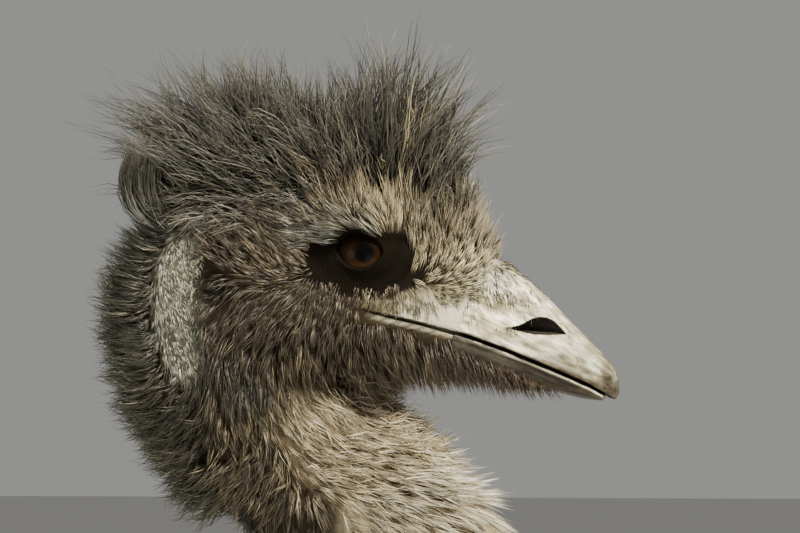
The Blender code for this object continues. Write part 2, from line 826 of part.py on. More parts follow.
def drum_locks(ground, side_name):
    """Locks that hang down round the drumstick."""
    side = SIDES[side_name]
    chance = random.Random(11)
    locks = []
    for i, place in enumerate(DRUM_LOCK_PLACES):
        for k in range(5):
            around = math.radians(72 * (k + 0.5 * (i % 2)) + chance.uniform(-6, 6))
            middle, fore, across = leg_point(side, place)
            aside = Vector((math.cos(around) * fore, math.sin(around) * across, 0))
            length = DRUM_LOCK_LENGTHS[i] * chance.uniform(0.9, 1.1)
            width = DRUM_LOCK_WIDTHS[i]
            lie = Vector((-0.35, 0, -1))
            locks.append(lying_lock(ground, middle + aside, lie, length, width, THICK * 0.8, (20, 4)))
    return locks


def shank(side_name):
    """The bare shank from the ankle to its pad, with broad plates down its front."""
    side = SIDES[side_name]
    places = [(DRUM_END + 0.006, 0)]
    places += [(place, 0) for place in spread_evenly(DRUM_END + 0.45, SCUTES_START, 4)]
    step = (SCUTES_END - SCUTES_START) / SCUTES
    for i in range(SCUTES):
        low = SCUTES_START + step * (i + 1)
        places += [(low - PLATE_LIP * step, PLATE_RISE), (low, 0)]
    places.append((len(LEG) - 1, 0))
    obj = loft(f"leg_lower_{side_name}", leg_rings(side, places, SHANK_SIDES))
    pad = pad_form(side)
    set_on_floor(pad)
    combine(obj, [pad], "UNION")
    return obj


def foot_middle(side):
    """The point on the floor that the toes of one foot spread from."""
    foot = leg_point(side, len(LEG) - 1)[0]
    return Vector((foot.x + PAD_FORWARD, foot.y, 0))


def pad_form(side, swell=0.0):
    """The rounded pad under the shank, or a copy of it swollen by a clearance."""
    pad = ball("pad", Vector((0, 0, 0)), 1.0, 16, 10)
    squash = Matrix.Diagonal((*[r + swell for r in PAD_RADII], 1))
    middle = foot_middle(side) + Vector((0, 0, PAD_RADII[2] - PAD_SINK))
    pad.data.transform(Matrix.Translation(middle) @ squash)
    return pad


def set_on_floor(obj):
    """Presses flat whatever reaches below the floor."""
    for vert in obj.data.vertices:
        vert.co.z = max(vert.co.z, 0.0)


def toe_line(side, toe_name):
    """The toe's start on the floor under the pad, and the way it points."""
    angle = math.radians((TOES[toe_name].spread + TURN_OUT) * side)
    return foot_middle(side), Vector((math.cos(angle), math.sin(angle), 0))


def toe_form(side, toe_name, swell=0.0):
    """A toe with a plate over each joint, or a copy of it swollen by a clearance."""
    size = TOES[toe_name]
    root, heading = toe_line(side, toe_name)
    across = Vector((-heading.y, heading.x, 0))
    rings = []
    for i in range(size.joints):
        for share, plate in (((i + 0.12) / size.joints, 0.0), ((i + 1) / size.joints, TOE_PLATE_RISE)):
            girth = size.radius * (1 - TOE_TAPER * share)
            middle = root + heading * size.length * share + Vector((0, 0, girth - SOLE_DEPTH))
            rings.append(round_ring(middle, across, girth + swell, girth + swell, plate))
    return loft(f"toe_{toe_name}", rings)


def round_ring(middle, across, wide, rise, plate=0.0):
    """A ring round a toe, whose upper side stands out by a plate's rise."""
    ring = []
    for k in range(TOE_SIDES):
        angle = 2 * math.pi * (k + 0.5) / TOE_SIDES - math.pi / 2
        height = math.sin(angle) * (rise + plate * max(math.sin(angle), 0))
        ring.append(middle + across * math.cos(angle) * wide + Vector((0, 0, height)))
    return ring


def toe(side_name, toe_name):
    """One toe, cut clear of the pad and of the middle toe, with a flat sole."""
    side = SIDES[side_name]
    obj = toe_form(side, toe_name)
    obj.name = f"toe_{toe_name}_{side_name}"
    set_on_floor(obj)
    cutters = [pad_form(side, 2 * SEAM_GAP)]
    if toe_name != "middle":
        cutters.append(toe_form(side, "middle", 2 * SEAM_GAP))
    for cutter in cutters:
        combine(obj, [cutter], "DIFFERENCE")
    return obj


def claw(side_name, toe_name):
    """A blunt curved claw that starts at the toe's flat end."""
    side = SIDES[side_name]
    size = TOES[toe_name]
    root, heading = toe_line(side, toe_name)
    across = Vector((-heading.y, heading.x, 0))
    start = root + heading * (size.length + SEAM_GAP)
    depth = CLAW_DEPTH * size.radius
    rings = []
    for share in (0.0, 0.35, 0.75, 1.0):
        girth = depth * (1 - share) ** 0.6 + CLAW_TIP_RADIUS
        level = CLAW_TIP_RADIUS + depth * (1 - share**2)
        middle = start + heading * size.claw * share + Vector((0, 0, level))
        rings.append(round_ring(middle, across, girth * 0.85, girth))
    obj = loft(f"claw_{toe_name}_{side_name}", rings)
    set_on_floor(obj)
    return obj


def wing_core(side_name):
    """The small stub of a wing, folded along the flank."""
    side = SIDES[side_name]
    rings = []
    for i in range(7):
        x, y, z, tall, thick = blend_values(WING, 3 * i / 6)
        middle = Vector((x, side * y, z))
        ring = []
        for k in range(8):
            angle = 2 * math.pi * k / 8
            ring.append(middle + Vector((0, math.cos(angle) * thick, math.sin(angle) * tall)))
        rings.append(ring)
    return loft(f"wing_{side_name}", rings)


def wing_locks(ground, side_name):
    """Short locks that hang back from the wing."""
    side = SIDES[side_name]
    chance = random.Random(21)
    locks = []
    size, width, thickness = WING_LOCK_SIZE
    for share in WING_LOCK_PLACES:
        x, y, z, tall, thick = blend_values(WING, share)
        root = Vector((x, side * (y + thick), z - 0.3 * tall))
        lie = Vector((-0.8, 0, -0.55))
        length = size * chance.uniform(0.9, 1.1)
        locks.append(lying_lock(ground, root, lie, length, width, thickness, (14, 2)))
    return locks


def finish_node(obj, finish, parent):
    """Gives a node its material and smooth shading, and moves it to its parent's collection."""
    colour, roughness = finish
    obj.data.materials.clear()
    obj.data.materials.append(material(obj.name, colour, roughness))
    obj.data.shade_smooth()
    obj.data.set_sharp_from_angle(angle=math.radians(40))
    obj.parent = parent
    for home in list(obj.users_collection):
        home.objects.unlink(obj)
    parent.users_collection[0].objects.link(obj)


def twin(obj):
    copy = obj.copy()
    copy.data = obj.data.copy()
    bpy.context.scene.collection.objects.link(copy)
    return copy


def swollen(obj, gaps=1.2):
    """A copy of obj, larger all round by some seam gaps, to cut its neighbours back."""
    copy = twin(obj)
    for vert, source in zip(copy.data.vertices, obj.data.vertices):
        vert.co += source.normal * gaps * SEAM_GAP
    return copy


def body_ground():
    """The surface of the head, neck and body cores in one, with no gaps at the seams."""
    forms = [
        body_loft("ground", HEAD, 0, FACE_END, HEAD_RINGS, HEAD_SIDES, CORE_DEPTH),
        body_loft("ground", NECK, 0, NECK_TOP + 1, 4 * NECK_RINGS, NECK_SIDES, CORE_DEPTH),
        body_loft("ground", TORSO, 0, len(TORSO) - 1, 20, TORSO_SIDES, CORE_DEPTH, True),
    ]
    ground = ground_of(*forms)
    for form in forms:
        bpy.data.objects.remove(form, do_unlink=True)
    return ground


def near(locks, obj, margin=0.08):
    """The locks whose middle lines come near obj's box."""
    points = [v.co for v in obj.data.vertices]
    low = [min(p[k] for p in points) - margin for k in range(3)]
    high = [max(p[k] for p in points) + margin for k in range(3)]
    return [
        lock
        for lock in locks
        if any(all(low[k] < p[k] < high[k] for k in range(3)) for p in lock.line)
    ]


def head_and_neck(ground):
    """The head and the lengths of the neck, each cut clear of the locks that hang over it.

    Returns the nodes and the locks of the lowest length, which hang over the torso.
    """
    over = head_locks(ground) + neck_locks(ground, NAPE_LOCKS)
    nodes = [head(over)]
    for name, coat in NECK_RINGS_OF_LOCKS.items():
        core = neck_core(name, coat.start, coat.end)
        locks = neck_locks(ground, coat)
        grow(core, locks)
        cut_clear(core, over)
        nodes.append(core)
        over = locks
    return nodes, over


def trunk_and_limbs(ground, over):
    """The torso, tail, wings and thighs. over holds the neck locks that hang over the torso."""
    torso = torso_core()
    bare = swollen(torso)
    locks = torso_locks(ground, FLANK_ROWS) + torso_locks(ground, CHEST_ROWS)
    tail = tail_core()
    grow(tail, torso_locks(ground, RUMP_ROWS))
    cut_clear(tail, near(locks, tail), [twin(bare)])
    grow(torso, locks)
    nodes = [tail, torso]
    for side_name in SIDES:
        drum = drum_core(side_name)
        grow(drum, drum_locks(ground_of(drum), side_name))
        cut_clear(drum, near(locks, drum), [twin(bare)])
        wing = wing_core(side_name)
        coat = wing_locks(ground_of(wing), side_name)
        combine(wing, [twin(bare)], "DIFFERENCE", "MANIFOLD")
        pocket = swollen(wing, WING_POCKET_GAPS)
        grow(wing, coat)
        combine(wing, [twin(bare)], "DIFFERENCE", "MANIFOLD")
        cut_clear(torso, coat, [pocket])
        nodes += [drum, wing]
    cut_clear(torso, over)
    bpy.data.objects.remove(bare, do_unlink=True)
    return nodes


def main():
    reset_scene()
    home = bpy.data.collections.new("emu")
    bpy.context.scene.collection.children.link(home)
    bird = bpy.data.objects.new("emu_origin", None)
    home.objects.link(bird)
    bird.location.x = CENTRE_SHIFT
    ground = body_ground()
    feathered, over = head_and_neck(ground)
    for node in feathered + trunk_and_limbs(ground, over):
        finish_node(node, PLUMAGE, bird)
    finish_node(bill_upper(), HORN, bird)
    finish_node(bill_half("bill_lower", BILL_LOWER_END, False), HORN, bird)
    for side_name in SIDES:
        finish_node(eyeball(side_name), EYE_GLOSS, bird)
        finish_node(shank(side_name), SCALES, bird)
        for toe_name in TOES:
            finish_node(toe(side_name, toe_name), SCALES, bird)
            finish_node(claw(side_name, toe_name), CLAW_HORN, bird)


main()
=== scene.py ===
"""Looks of a life-size adult emu that stands still with its neck drawn back.

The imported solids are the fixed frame. One smooth skin takes the place of the flesh, tufts of
solid hairs and loose feathers grow on it, and finer bill, eyes, shanks, toes and claws take the
place of the plain ones. Units are metres, the bird faces +X, and its right side is at -Y.
"""

import json
import logging
import math
from dataclasses import dataclass, field
from enum import Enum

import bmesh
import bpy
import numpy as np
from mathutils import Matrix, Vector
from mathutils.bvhtree import BVHTree

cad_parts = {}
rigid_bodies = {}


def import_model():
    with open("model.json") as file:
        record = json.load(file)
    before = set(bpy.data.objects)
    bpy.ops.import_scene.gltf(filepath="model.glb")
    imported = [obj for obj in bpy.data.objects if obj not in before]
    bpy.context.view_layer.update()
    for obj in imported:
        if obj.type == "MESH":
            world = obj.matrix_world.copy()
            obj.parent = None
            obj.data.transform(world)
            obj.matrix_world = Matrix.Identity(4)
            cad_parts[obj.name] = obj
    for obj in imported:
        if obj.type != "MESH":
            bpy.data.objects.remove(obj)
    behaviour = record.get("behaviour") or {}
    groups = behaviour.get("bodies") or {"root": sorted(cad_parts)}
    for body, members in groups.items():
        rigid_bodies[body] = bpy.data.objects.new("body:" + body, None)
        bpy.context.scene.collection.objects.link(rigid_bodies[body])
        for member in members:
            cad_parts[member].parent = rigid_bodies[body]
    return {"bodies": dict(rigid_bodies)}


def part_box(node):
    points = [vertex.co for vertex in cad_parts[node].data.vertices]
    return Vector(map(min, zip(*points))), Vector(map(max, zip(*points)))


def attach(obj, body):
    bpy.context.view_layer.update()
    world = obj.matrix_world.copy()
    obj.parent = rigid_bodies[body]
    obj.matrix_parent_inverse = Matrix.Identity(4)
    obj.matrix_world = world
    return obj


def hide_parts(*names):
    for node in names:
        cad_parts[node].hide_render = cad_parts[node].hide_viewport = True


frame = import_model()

Array = np.ndarray
Object, Material = bpy.types.Object, bpy.types.Material

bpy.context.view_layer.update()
BODY = "root" if "root" in frame["bodies"] else sorted(frame["bodies"])[0]
SIDES = {"right": -1.0, "left": 1.0}
MM = 0.001
log = logging.getLogger("emu")

# The eyes' middle in the frame gives the head's place, and the hips' place under it
EYE_AHEAD, HEAD_OVER_HIPS = 0.0058, 0.285
EYE_MIDDLE = (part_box("eye_right")[0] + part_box("eye_left")[1]) / 2
EYE_ASIDE = (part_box("eye_left")[0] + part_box("eye_left")[1]).y / 2
HEAD_PLACE = np.array([EYE_MIDDLE.x - EYE_AHEAD, 0.0, EYE_MIDDLE.z])
HIP_SHIFT = HEAD_PLACE[0] - HEAD_OVER_HIPS

# Cross-sections of the torso: share of its length, top, bottom and width as shares of its
# half sizes, and how far its middle is lifted
TORSO_REAR, TORSO_LENGTH, SPINE_HEIGHT = -0.375, 0.715, 0.868
TORSO_HALF_HEIGHT, TORSO_HALF_WIDTH = 0.182, 0.160
TORSO_STATIONS = (
    (0.00, 0.06, 0.06, 0.06, -0.020),
    (0.05, 0.32, 0.28, 0.32, -0.014),
    (0.14, 0.58, 0.50, 0.54, -0.006),
    (0.28, 0.82, 0.77, 0.82, 0.0),
    (0.44, 0.98, 0.95, 0.98, 0.0),
    (0.58, 1.00, 1.00, 1.00, 0.0),
    (0.72, 0.95, 0.97, 0.96, 0.0),
    (0.84, 0.82, 0.85, 0.84, 0.004),
    (0.93, 0.62, 0.64, 0.62, 0.010),
    (0.98, 0.38, 0.38, 0.38, 0.016),
    (1.00, 0.08, 0.08, 0.08, 0.018),
)
# Of the neck: x, height, half width, and reach towards the nape and the throat
NECK_STATIONS = (
    (0.150, 0.905, 0.098, 0.100, 0.110),
    (0.228, 0.952, 0.092, 0.090, 0.100),
    (0.292, 1.018, 0.074, 0.074, 0.080),
    (0.338, 1.105, 0.056, 0.056, 0.058),
    (0.361, 1.200, 0.045, 0.045, 0.046),
    (0.353, 1.290, 0.039, 0.039, 0.040),
    (0.317, 1.362, 0.036, 0.036, 0.036),
    (0.266, 1.413, 0.034, 0.034, 0.034),
    (0.238, 1.448, 0.034, 0.034, 0.032),
    (0.229, 1.486, 0.033, 0.033, 0.031),
    (0.236, 1.512, 0.024, 0.020, 0.020),
)
# Of the head, in millimetres from its place: along, up, half width, and reach up and down.
# Their middles follow the line of the mouth from the gape on.
HEAD_STATIONS = (
    (-77.0, -5.0, 2.0, 2.0, 2.0),
    (-73.0, -6.0, 17.0, 14.0, 16.0),
    (-62.0, -7.5, 28.5, 27.0, 32.0),
    (-42.0, -10.0, 35.5, 41.0, 40.0),
    (-20.0, -15.0, 37.0, 49.0, 36.0),
    (0.0, -20.8, 35.0, 52.0, 26.0),
    (16.0, -24.9, 31.5, 48.0, 16.5),
    (30.0, -28.2, 26.5, 41.0, 15.0),
    (43.0, -31.8, 21.0, 32.5, 14.5),
    (50.0, -34.2, 18.6, 31.0, 13.5),
    (62.0, -38.7, 15.6, 26.5, 12.0),
    (75.0, -44.2, 12.9, 20.5, 10.0),
    (86.0, -49.0, 10.5, 15.6, 8.0),
    (94.0, -52.7, 8.2, 12.2, 6.2),
    (99.5, -56.0, 5.6, 8.6, 3.4),
    (103.0, -58.3, 2.0, 3.0, 1.0),
)
# Of each leg: x, height, share of the stride, fore-and-aft radius and sideways radius
HIP_SPREAD, STRIDE = 0.105, 0.030
LEG_STATIONS = (
    (0.030, 0.820, 0.10, 0.098, 0.066),
    (-0.008, 0.690, 0.25, 0.084, 0.059),
    (-0.060, 0.560, 0.50, 0.056, 0.043),
    (-0.102, 0.465, 0.70, 0.034, 0.029),
    (-0.118, 0.420, 0.75, 0.031, 0.0265),
    (-0.110, 0.385, 0.78, 0.025, 0.0215),
    (-0.085, 0.270, 0.85, 0.0195, 0.0180),
    (-0.058, 0.150, 0.93, 0.0185, 0.0175),
    (-0.040, 0.075, 0.98, 0.0210, 0.0205),
    (-0.034, 0.018, 1.00, 0.0225, 0.0235),
)
ANKLE_PLACE = 3.0
# Of each wing: x, y, height, half height and half thickness
WING_STATIONS = (
    (0.168, 0.160, 0.940, 0.011, 0.010),
    (0.115, 0.180, 0.915, 0.021, 0.013),
    (0.055, 0.189, 0.885, 0.018, 0.011),
    (-0.005, 0.190, 0.858, 0.006, 0.005),
)
# In millimetres from the head's place: the line between the jaws as places along and heights,
# and the bare dark almond round the eye
MOUTH_LINE = ((-2, 5, 16, 30, 43, 50, 62), (-20.5, -22.2, -24.9, -28.5, -31.8, -34.2, -38.7))
SURROUND_MIDDLE, SURROUND_HALF, SURROUND_TILT = (6.5, -3.4), (25.0, 11.0), 0.03
# The middle line of the jaws, from the gape to the tip of the bill, as places along and heights
HEAD_LINE = ([row[0] for row in HEAD_STATIONS[5:]], [row[1] for row in HEAD_STATIONS[5:]])
# How far aside the flat of the face begins, in millimetres
FACE_SIDE = 14


def unit(vectors: Array) -> Array:
    """The vectors at length one."""
    return vectors / np.maximum(np.linalg.norm(vectors, axis=-1, keepdims=True), 1e-12)


def smooth(values: Array, low: float, high: float) -> Array:
    """A smooth step from 0 at low to 1 at high."""
    share = np.clip((values - low) / (high - low), 0.0, 1.0)
    return share * share * (3 - 2 * share)


def bell(values: Array, middle: float, width: float) -> Array:
    """A bell curve of height one."""
    return np.exp(-(((values - middle) / width) ** 2))


def mix(first: Array, second: Array, share: Array) -> Array:
    """The first blended into the second by a share."""
    return first * (1 - share) + second * share


def turns(count: int, start: float = 0.0) -> list[tuple[float, float]]:
    """The cosine and the sine of even steps round a circle."""
    angles = [2 * math.pi * k / count + start for k in range(count)]
    return [(math.cos(angle), math.sin(angle)) for angle in angles]


def lean_out(aims: Array, normals: Array, least: float) -> Array:
    """The directions, turned so that each leans out of the skin by at least this much."""
    inward = np.minimum((aims * normals).sum(1), least) - least
    return unit(aims - normals * inward[:, None])


def eye_surround(local: Array) -> Array:
    """How far out of the bare dark almond round the eye a place is: 1 at its edge.

    Args:
        local: Places in millimetres from the head's place.

    Returns:
        One number a place.
    """
    ahead = local[:, 0] - SURROUND_MIDDLE[0]
    rise = local[:, 2] - SURROUND_MIDDLE[1] + SURROUND_TILT * (local[:, 0] - 6)
    return np.sqrt((ahead / SURROUND_HALF[0]) ** 2 + (rise / SURROUND_HALF[1]) ** 2)


def from_head(points: Array) -> Array:
    """Places in millimetres from the head's place."""
    return (points - HEAD_PLACE) / MM


def from_eye(points: Array) -> Array:
    """How far each point is from the middle of the nearer eye.

    Args:
        points: Places in the frame.

    Returns:
        Distances in metres.
    """
    offset = points - np.array([EYE_MIDDLE.x, 0.0, EYE_MIDDLE.z])
    offset[:, 1] = np.abs(offset[:, 1]) - EYE_ASIDE
    return np.linalg.norm(offset, axis=1)


def mouth_height(along: Array) -> Array:
    """The height of the line between the jaws, in millimetres from the head's place."""
    return np.interp(along, *MOUTH_LINE)


@dataclass
class Axis:
    """A form's cross-sections, blended smoothly along its middle line.

    rows has one station a row: x, y, z, half width, reach back and reach front. kind is the part
    of the body that the form is.
    """

    rows: Array
    kind: str

    def __post_init__(self) -> None:
        """Keeps the stations as an array."""
        self.rows = np.asarray(self.rows, float)

    @property
    def last(self) -> int:
        """The place of the last station."""
        return len(self.rows) - 1

    def at(self, places: Array) -> Array:
        """The blended stations at places counted in stations.

        Args:
            places: Where, counted in stations.

        Returns:
            One row a place, like the stations.
        """
        places = np.clip(np.atleast_1d(places), 0, self.last)
        first = np.minimum(places.astype(int), self.last - 1)
        t = (places - first)[:, None]
        a = self.rows[np.maximum(first - 1, 0)]
        b = self.rows[first]
        c = self.rows[first + 1]
        d = self.rows[np.minimum(first + 2, self.last)]
        square = (2 * a - 5 * b + 4 * c - d) * t**2
        cube = (3 * b - a - 3 * c + d) * t**3
        return 0.5 * (2 * b + (c - a) * t + square + cube)

    def frames(self, places: Array) -> tuple[Array, Array, Array]:
        """The heading, the way across and the way to the back at each place.

        Args:
            places: Where, counted in stations.

        Returns:
            Three arrays of directions, one a place.
        """
        places = np.atleast_1d(places)
        step = 0.02
        heading = unit(self.at(places + step)[:, :3] - self.at(places - step)[:, :3])
        if self.kind == "torso":
            heading = np.tile((1.0, 0.0, 0.0), (len(places), 1))
        across = np.tile((0.0, 1.0, 0.0), (len(places), 1))
        across = unit(across - heading * (across * heading).sum(1)[:, None])
        return heading, across, np.cross(heading, across)

    def rings(self, places: Array, sides: int, power: float = 2.15) -> Array:
        """Rings of points round the form.

        Args:
            places: Where the rings are, in stations.
            sides: How many points each ring has.
            power: How square the cross-sections are.

        Returns:
            Points as an array of rings by sides by 3.
        """
        here = self.at(places)
        _, across, back = self.frames(places)
        angle = np.linspace(0, 2 * math.pi, sides, endpoint=False)
        level = np.abs(np.cos(angle)) ** (2 / power) * np.sign(np.cos(angle))
        rise = np.abs(np.sin(angle)) ** (2 / power) * np.sign(np.sin(angle))
        reach = np.where(rise > 0, here[:, 4:5], here[:, 5:6])
        points = here[:, None, :3] + across[:, None] * (level * here[:, 3:4])[..., None]
        return points + back[:, None] * (rise * reach)[..., None]


def head_axis() -> Axis:
    """The head's cross-sections in the frame, in metres.

    Returns:
        The axis.
    """
    rows = [
        (HEAD_PLACE[0] + a * MM, 0.0, HEAD_PLACE[2] + u * MM, s * MM, b * MM, f * MM)
        for a, u, s, b, f in HEAD_STATIONS
    ]
    return Axis(rows, "head")


def neck_axis() -> Axis:
    """The neck's cross-sections in the frame."""
    return Axis([(x + HIP_SHIFT, 0.0, z, s, b, f) for x, z, s, b, f in NECK_STATIONS], "neck")


def torso_axis() -> Axis:
    """The torso's cross-sections in the frame.

    Returns:
        The axis.
    """
    rows = []
    for share, top, bottom, width, lift in TORSO_STATIONS:
        x = TORSO_REAR + share * TORSO_LENGTH + HIP_SHIFT
        sizes = (width * TORSO_HALF_WIDTH, top * TORSO_HALF_HEIGHT, bottom * TORSO_HALF_HEIGHT)
        rows.append((x, 0.0, SPINE_HEIGHT + lift, *sizes))
    return Axis(rows, "torso")


def leg_axis(side: float) -> Axis:
    """One leg's cross-sections, with the stride taken in.

    Args:
        side: -1 on the right, 1 on the left.

    Returns:
        The axis.
    """
    rows = [
        (x - side * STRIDE * share + HIP_SHIFT, side * HIP_SPREAD, z, across, fore, fore)
        for x, z, share, fore, across in LEG_STATIONS
    ]
    return Axis(rows, "leg")


def wing_axis(side: float) -> Axis:
    """One wing stub's cross-sections, folded along the flank."""
    rows = [(x + HIP_SHIFT, side * y, z, thick, tall, tall) for x, y, z, tall, thick in WING_STATIONS]
    return Axis(rows, "wing")


HEAD, NECK, TORSO = head_axis(), neck_axis(), torso_axis()
LEGS = {name: leg_axis(side) for name, side in SIDES.items()}
WINGS = {name: wing_axis(side) for name, side in SIDES.items()}


def held(*values: float) -> Array:
    """A dataclass field that holds an array."""
    return field(default_factory=lambda: np.array(values))


# Meshes


def in_scene(name: str, data: bpy.types.ID) -> Object:
    """A new object in the scene.

    Args:
        name: Its name.
        data: Its mesh, light or camera.

    Returns:
        The object.
    """
    made = bpy.data.objects.new(name, data)
    bpy.context.scene.collection.objects.link(made)
    return made


def mesh_object(name: str, points: Array, faces: list) -> Object:
    """A smooth-shaded mesh object in the scene.

    Args:
        name: The object's name.
        points: Corners, one a row.
        faces: Lists of corner numbers.

    Returns:
        The object.
    """
    mesh = bpy.data.meshes.new(name)
    mesh.from_pydata(np.asarray(points, float).reshape(-1, 3).tolist(), [], faces)
    mesh.shade_smooth()
    return in_scene(name, mesh)


def report(made: Object) -> None:
    """Logs a finished piece."""
    log.info("%s: %d faces", made.name, len(made.data.polygons))


def face_outward(made: Object) -> None:
    """Turns all faces of a closed mesh outwards.

    Args:
        made: The mesh object.
    """
    shape = bmesh.new()
    shape.from_mesh(made.data)
    bmesh.ops.recalc_face_normals(shape, faces=shape.faces)
    shape.to_mesh(made.data)
    shape.free()


def ring_faces(count: int, sides: int, closed: bool) -> list:
    """Four-cornered faces between rings of points.

    Args:
        count: How many rings there are.
        sides: How many points each has.
        closed: Whether the last ring joins the first.

    Returns:
        Tuples of corner numbers.
    """
    faces = []
    for i in range(count if closed else count - 1):
        j = (i + 1) % count
        for k in range(sides):
            m = (k + 1) % sides
            faces.append((i * sides + k, i * sides + m, j * sides + m, j * sides + k))
    return faces


def loft(name: str, rings: Array) -> Object:
    """A closed tube through rings of points, with a flat cap on each end.

    Args:
        name: The object's name.
        rings: Points as rings by sides by 3.

    Returns:
        The mesh object.
    """
    count, sides = rings.shape[:2]
    faces = ring_faces(count, sides, False)
    faces.append(tuple(range(sides)))
    faces.append(tuple((count - 1) * sides + k for k in range(sides)))
    made = mesh_object(name, rings, faces)
    face_outward(made)
    return made


def settle(made: Object) -> None:
    """Applies the object's modifiers to its mesh.

    Args:
        made: The object.
    """
    bpy.context.view_layer.update()
    evaluated = made.evaluated_get(bpy.context.evaluated_depsgraph_get())
    mesh = bpy.data.meshes.new_from_object(evaluated)
    made.modifiers.clear()
    made.data = mesh


def boolean(made: Object, others: list, operation: str, solver: str = "MANIFOLD") -> None:
    """Joins others to an object, or cuts them from it, and removes them.

    Args:
        made: The object that is changed.
        others: The objects that are joined or cut away.
        operation: UNION or DIFFERENCE.
        solver: The Boolean solver.
    """
    for other in others:
        change = made.modifiers.new(operation, "BOOLEAN")
        change.operation, change.object, change.solver = operation, other, solver
        if solver == "EXACT":
            change.material_mode = "TRANSFER"
    settle(made)
    for other in others:
        bpy.data.objects.remove(other, do_unlink=True)


def remesh(parts: list, name: str, size: float, rounds: int) -> Object:
    """Melts overlapping closed parts into one even surface.

    Args:
        parts: The objects, which are used up.
        name: The new object's name.
        size: How wide its faces are.
        rounds: How often it is smoothed.

    Returns:
        The melted object.
    """
    shape = bmesh.new()
    for part in parts:
        shape.from_mesh(part.data)
        bpy.data.objects.remove(part, do_unlink=True)
    mesh = bpy.data.meshes.new(name)
    shape.to_mesh(mesh)
    shape.free()
    made = in_scene(name, mesh)
    melt = made.modifiers.new("melt", "REMESH")
    melt.mode, melt.voxel_size, melt.use_smooth_shade = "VOXEL", size, True
    soften = made.modifiers.new("soften", "SMOOTH")
    soften.factor, soften.iterations = 0.5, rounds
    settle(made)
    return made


def corners(mesh: bpy.types.Mesh, what: str = "co") -> Array:
    """The mesh's points, or another vector that each of them has.

    Args:
        mesh: The mesh.
        what: co for places, normal for normals.

    Returns:
        One vector a row.
    """
    found = np.empty(len(mesh.vertices) * 3, np.float32)
    source = mesh.vertices if what == "co" else mesh.vertex_normals
    source.foreach_get("co" if what == "co" else "vector", found)
    return found.reshape(-1, 3).astype(float)


def move_corners(mesh: bpy.types.Mesh, points: Array) -> None:
    """Puts the mesh's points in new places."""
    mesh.vertices.foreach_set("co", points.astype(np.float32).ravel())
    mesh.update()


def lay(base: Array, layers: list) -> Array:
    """Colours laid over each other in turn.

    Args:
        base: The colour under them all.
        layers: Pairs of each point's share and the colour that is laid there.

    Returns:
        A colour a point.
    """
    colours = np.tile(base, (len(layers[0][0]), 1)) if base.ndim == 1 else base
    for share, colour in layers:
        share = np.clip(share, 0, 1)[:, None]
        colours = mix(colours, np.array(colour), share)
    return colours


def paint(mesh: bpy.types.Mesh, colours: Array) -> None:
    """Stores a colour at each corner of the mesh, for its material to read.

    Args:
        mesh: The mesh.
        colours: One colour a row.
    """
    layer = mesh.color_attributes.new("tint", "FLOAT_COLOR", "POINT")
    full = np.ones((len(mesh.vertices), 4), np.float32)
    full[:, :3] = np.clip(colours, 0.0, 1.0)
    layer.data.foreach_set("color", full.ravel())


def ball(name: str, centre: tuple, radii: tuple, segments: int = 48) -> Object:
    """A smooth ellipsoid.

    Args:
        name: Its name.
        centre: Its middle.
        radii: Its three radii.
        segments: How many faces go round it.

    Returns:
        The mesh object.
    """
    shape = bmesh.new()
    bmesh.ops.create_uvsphere(shape, u_segments=segments, v_segments=segments // 2, radius=1.0)
    mesh = bpy.data.meshes.new(name)
    shape.to_mesh(mesh)
    shape.free()
    mesh.transform(Matrix.Translation(centre) @ Matrix.Diagonal((*radii, 1.0)))
    mesh.shade_smooth()
    return in_scene(name, mesh)


# Finishes


class Wire:
    """A shader value that arithmetic works on: each operation adds a Math node."""

    def __init__(self, book: "Shader", socket: bpy.types.NodeSocket) -> None:
        """Wraps a socket of a material's nodes."""
        self.book = book
        self.socket = socket

    def _maths(self, operation: str, *values: "Wire | float") -> "Wire":
        """A Math node over these values, in order."""
        inputs = dict(enumerate(values))
        return self.book.node("ShaderNodeMath", {"operation": operation}, inputs)

    def __add__(self, other: "Wire | float") -> "Wire":
        """The sum."""
        return self._maths("ADD", self, other)

    __radd__ = __add__

    def __sub__(self, other: "Wire | float") -> "Wire":
        """The difference."""
        return self._maths("SUBTRACT", self, other)

    def __rsub__(self, other: "Wire | float") -> "Wire":
        """The difference from a number."""
        return self._maths("SUBTRACT", other, self)

    def __mul__(self, other: "Wire | float") -> "Wire":
        """The product."""
        return self._maths("MULTIPLY", self, other)

    __rmul__ = __mul__

    def __pow__(self, other: "Wire | float") -> "Wire":
        """The power."""
        return self._maths("POWER", self, other)

    def step(self, low: float, high: float) -> "Wire":
        """A smooth step from 0 at low to 1 at high."""
        settings = {"interpolation_type": "SMOOTHSTEP"}
        return self.book.node("ShaderNodeMapRange", settings, {0: self, 1: low, 2: high})


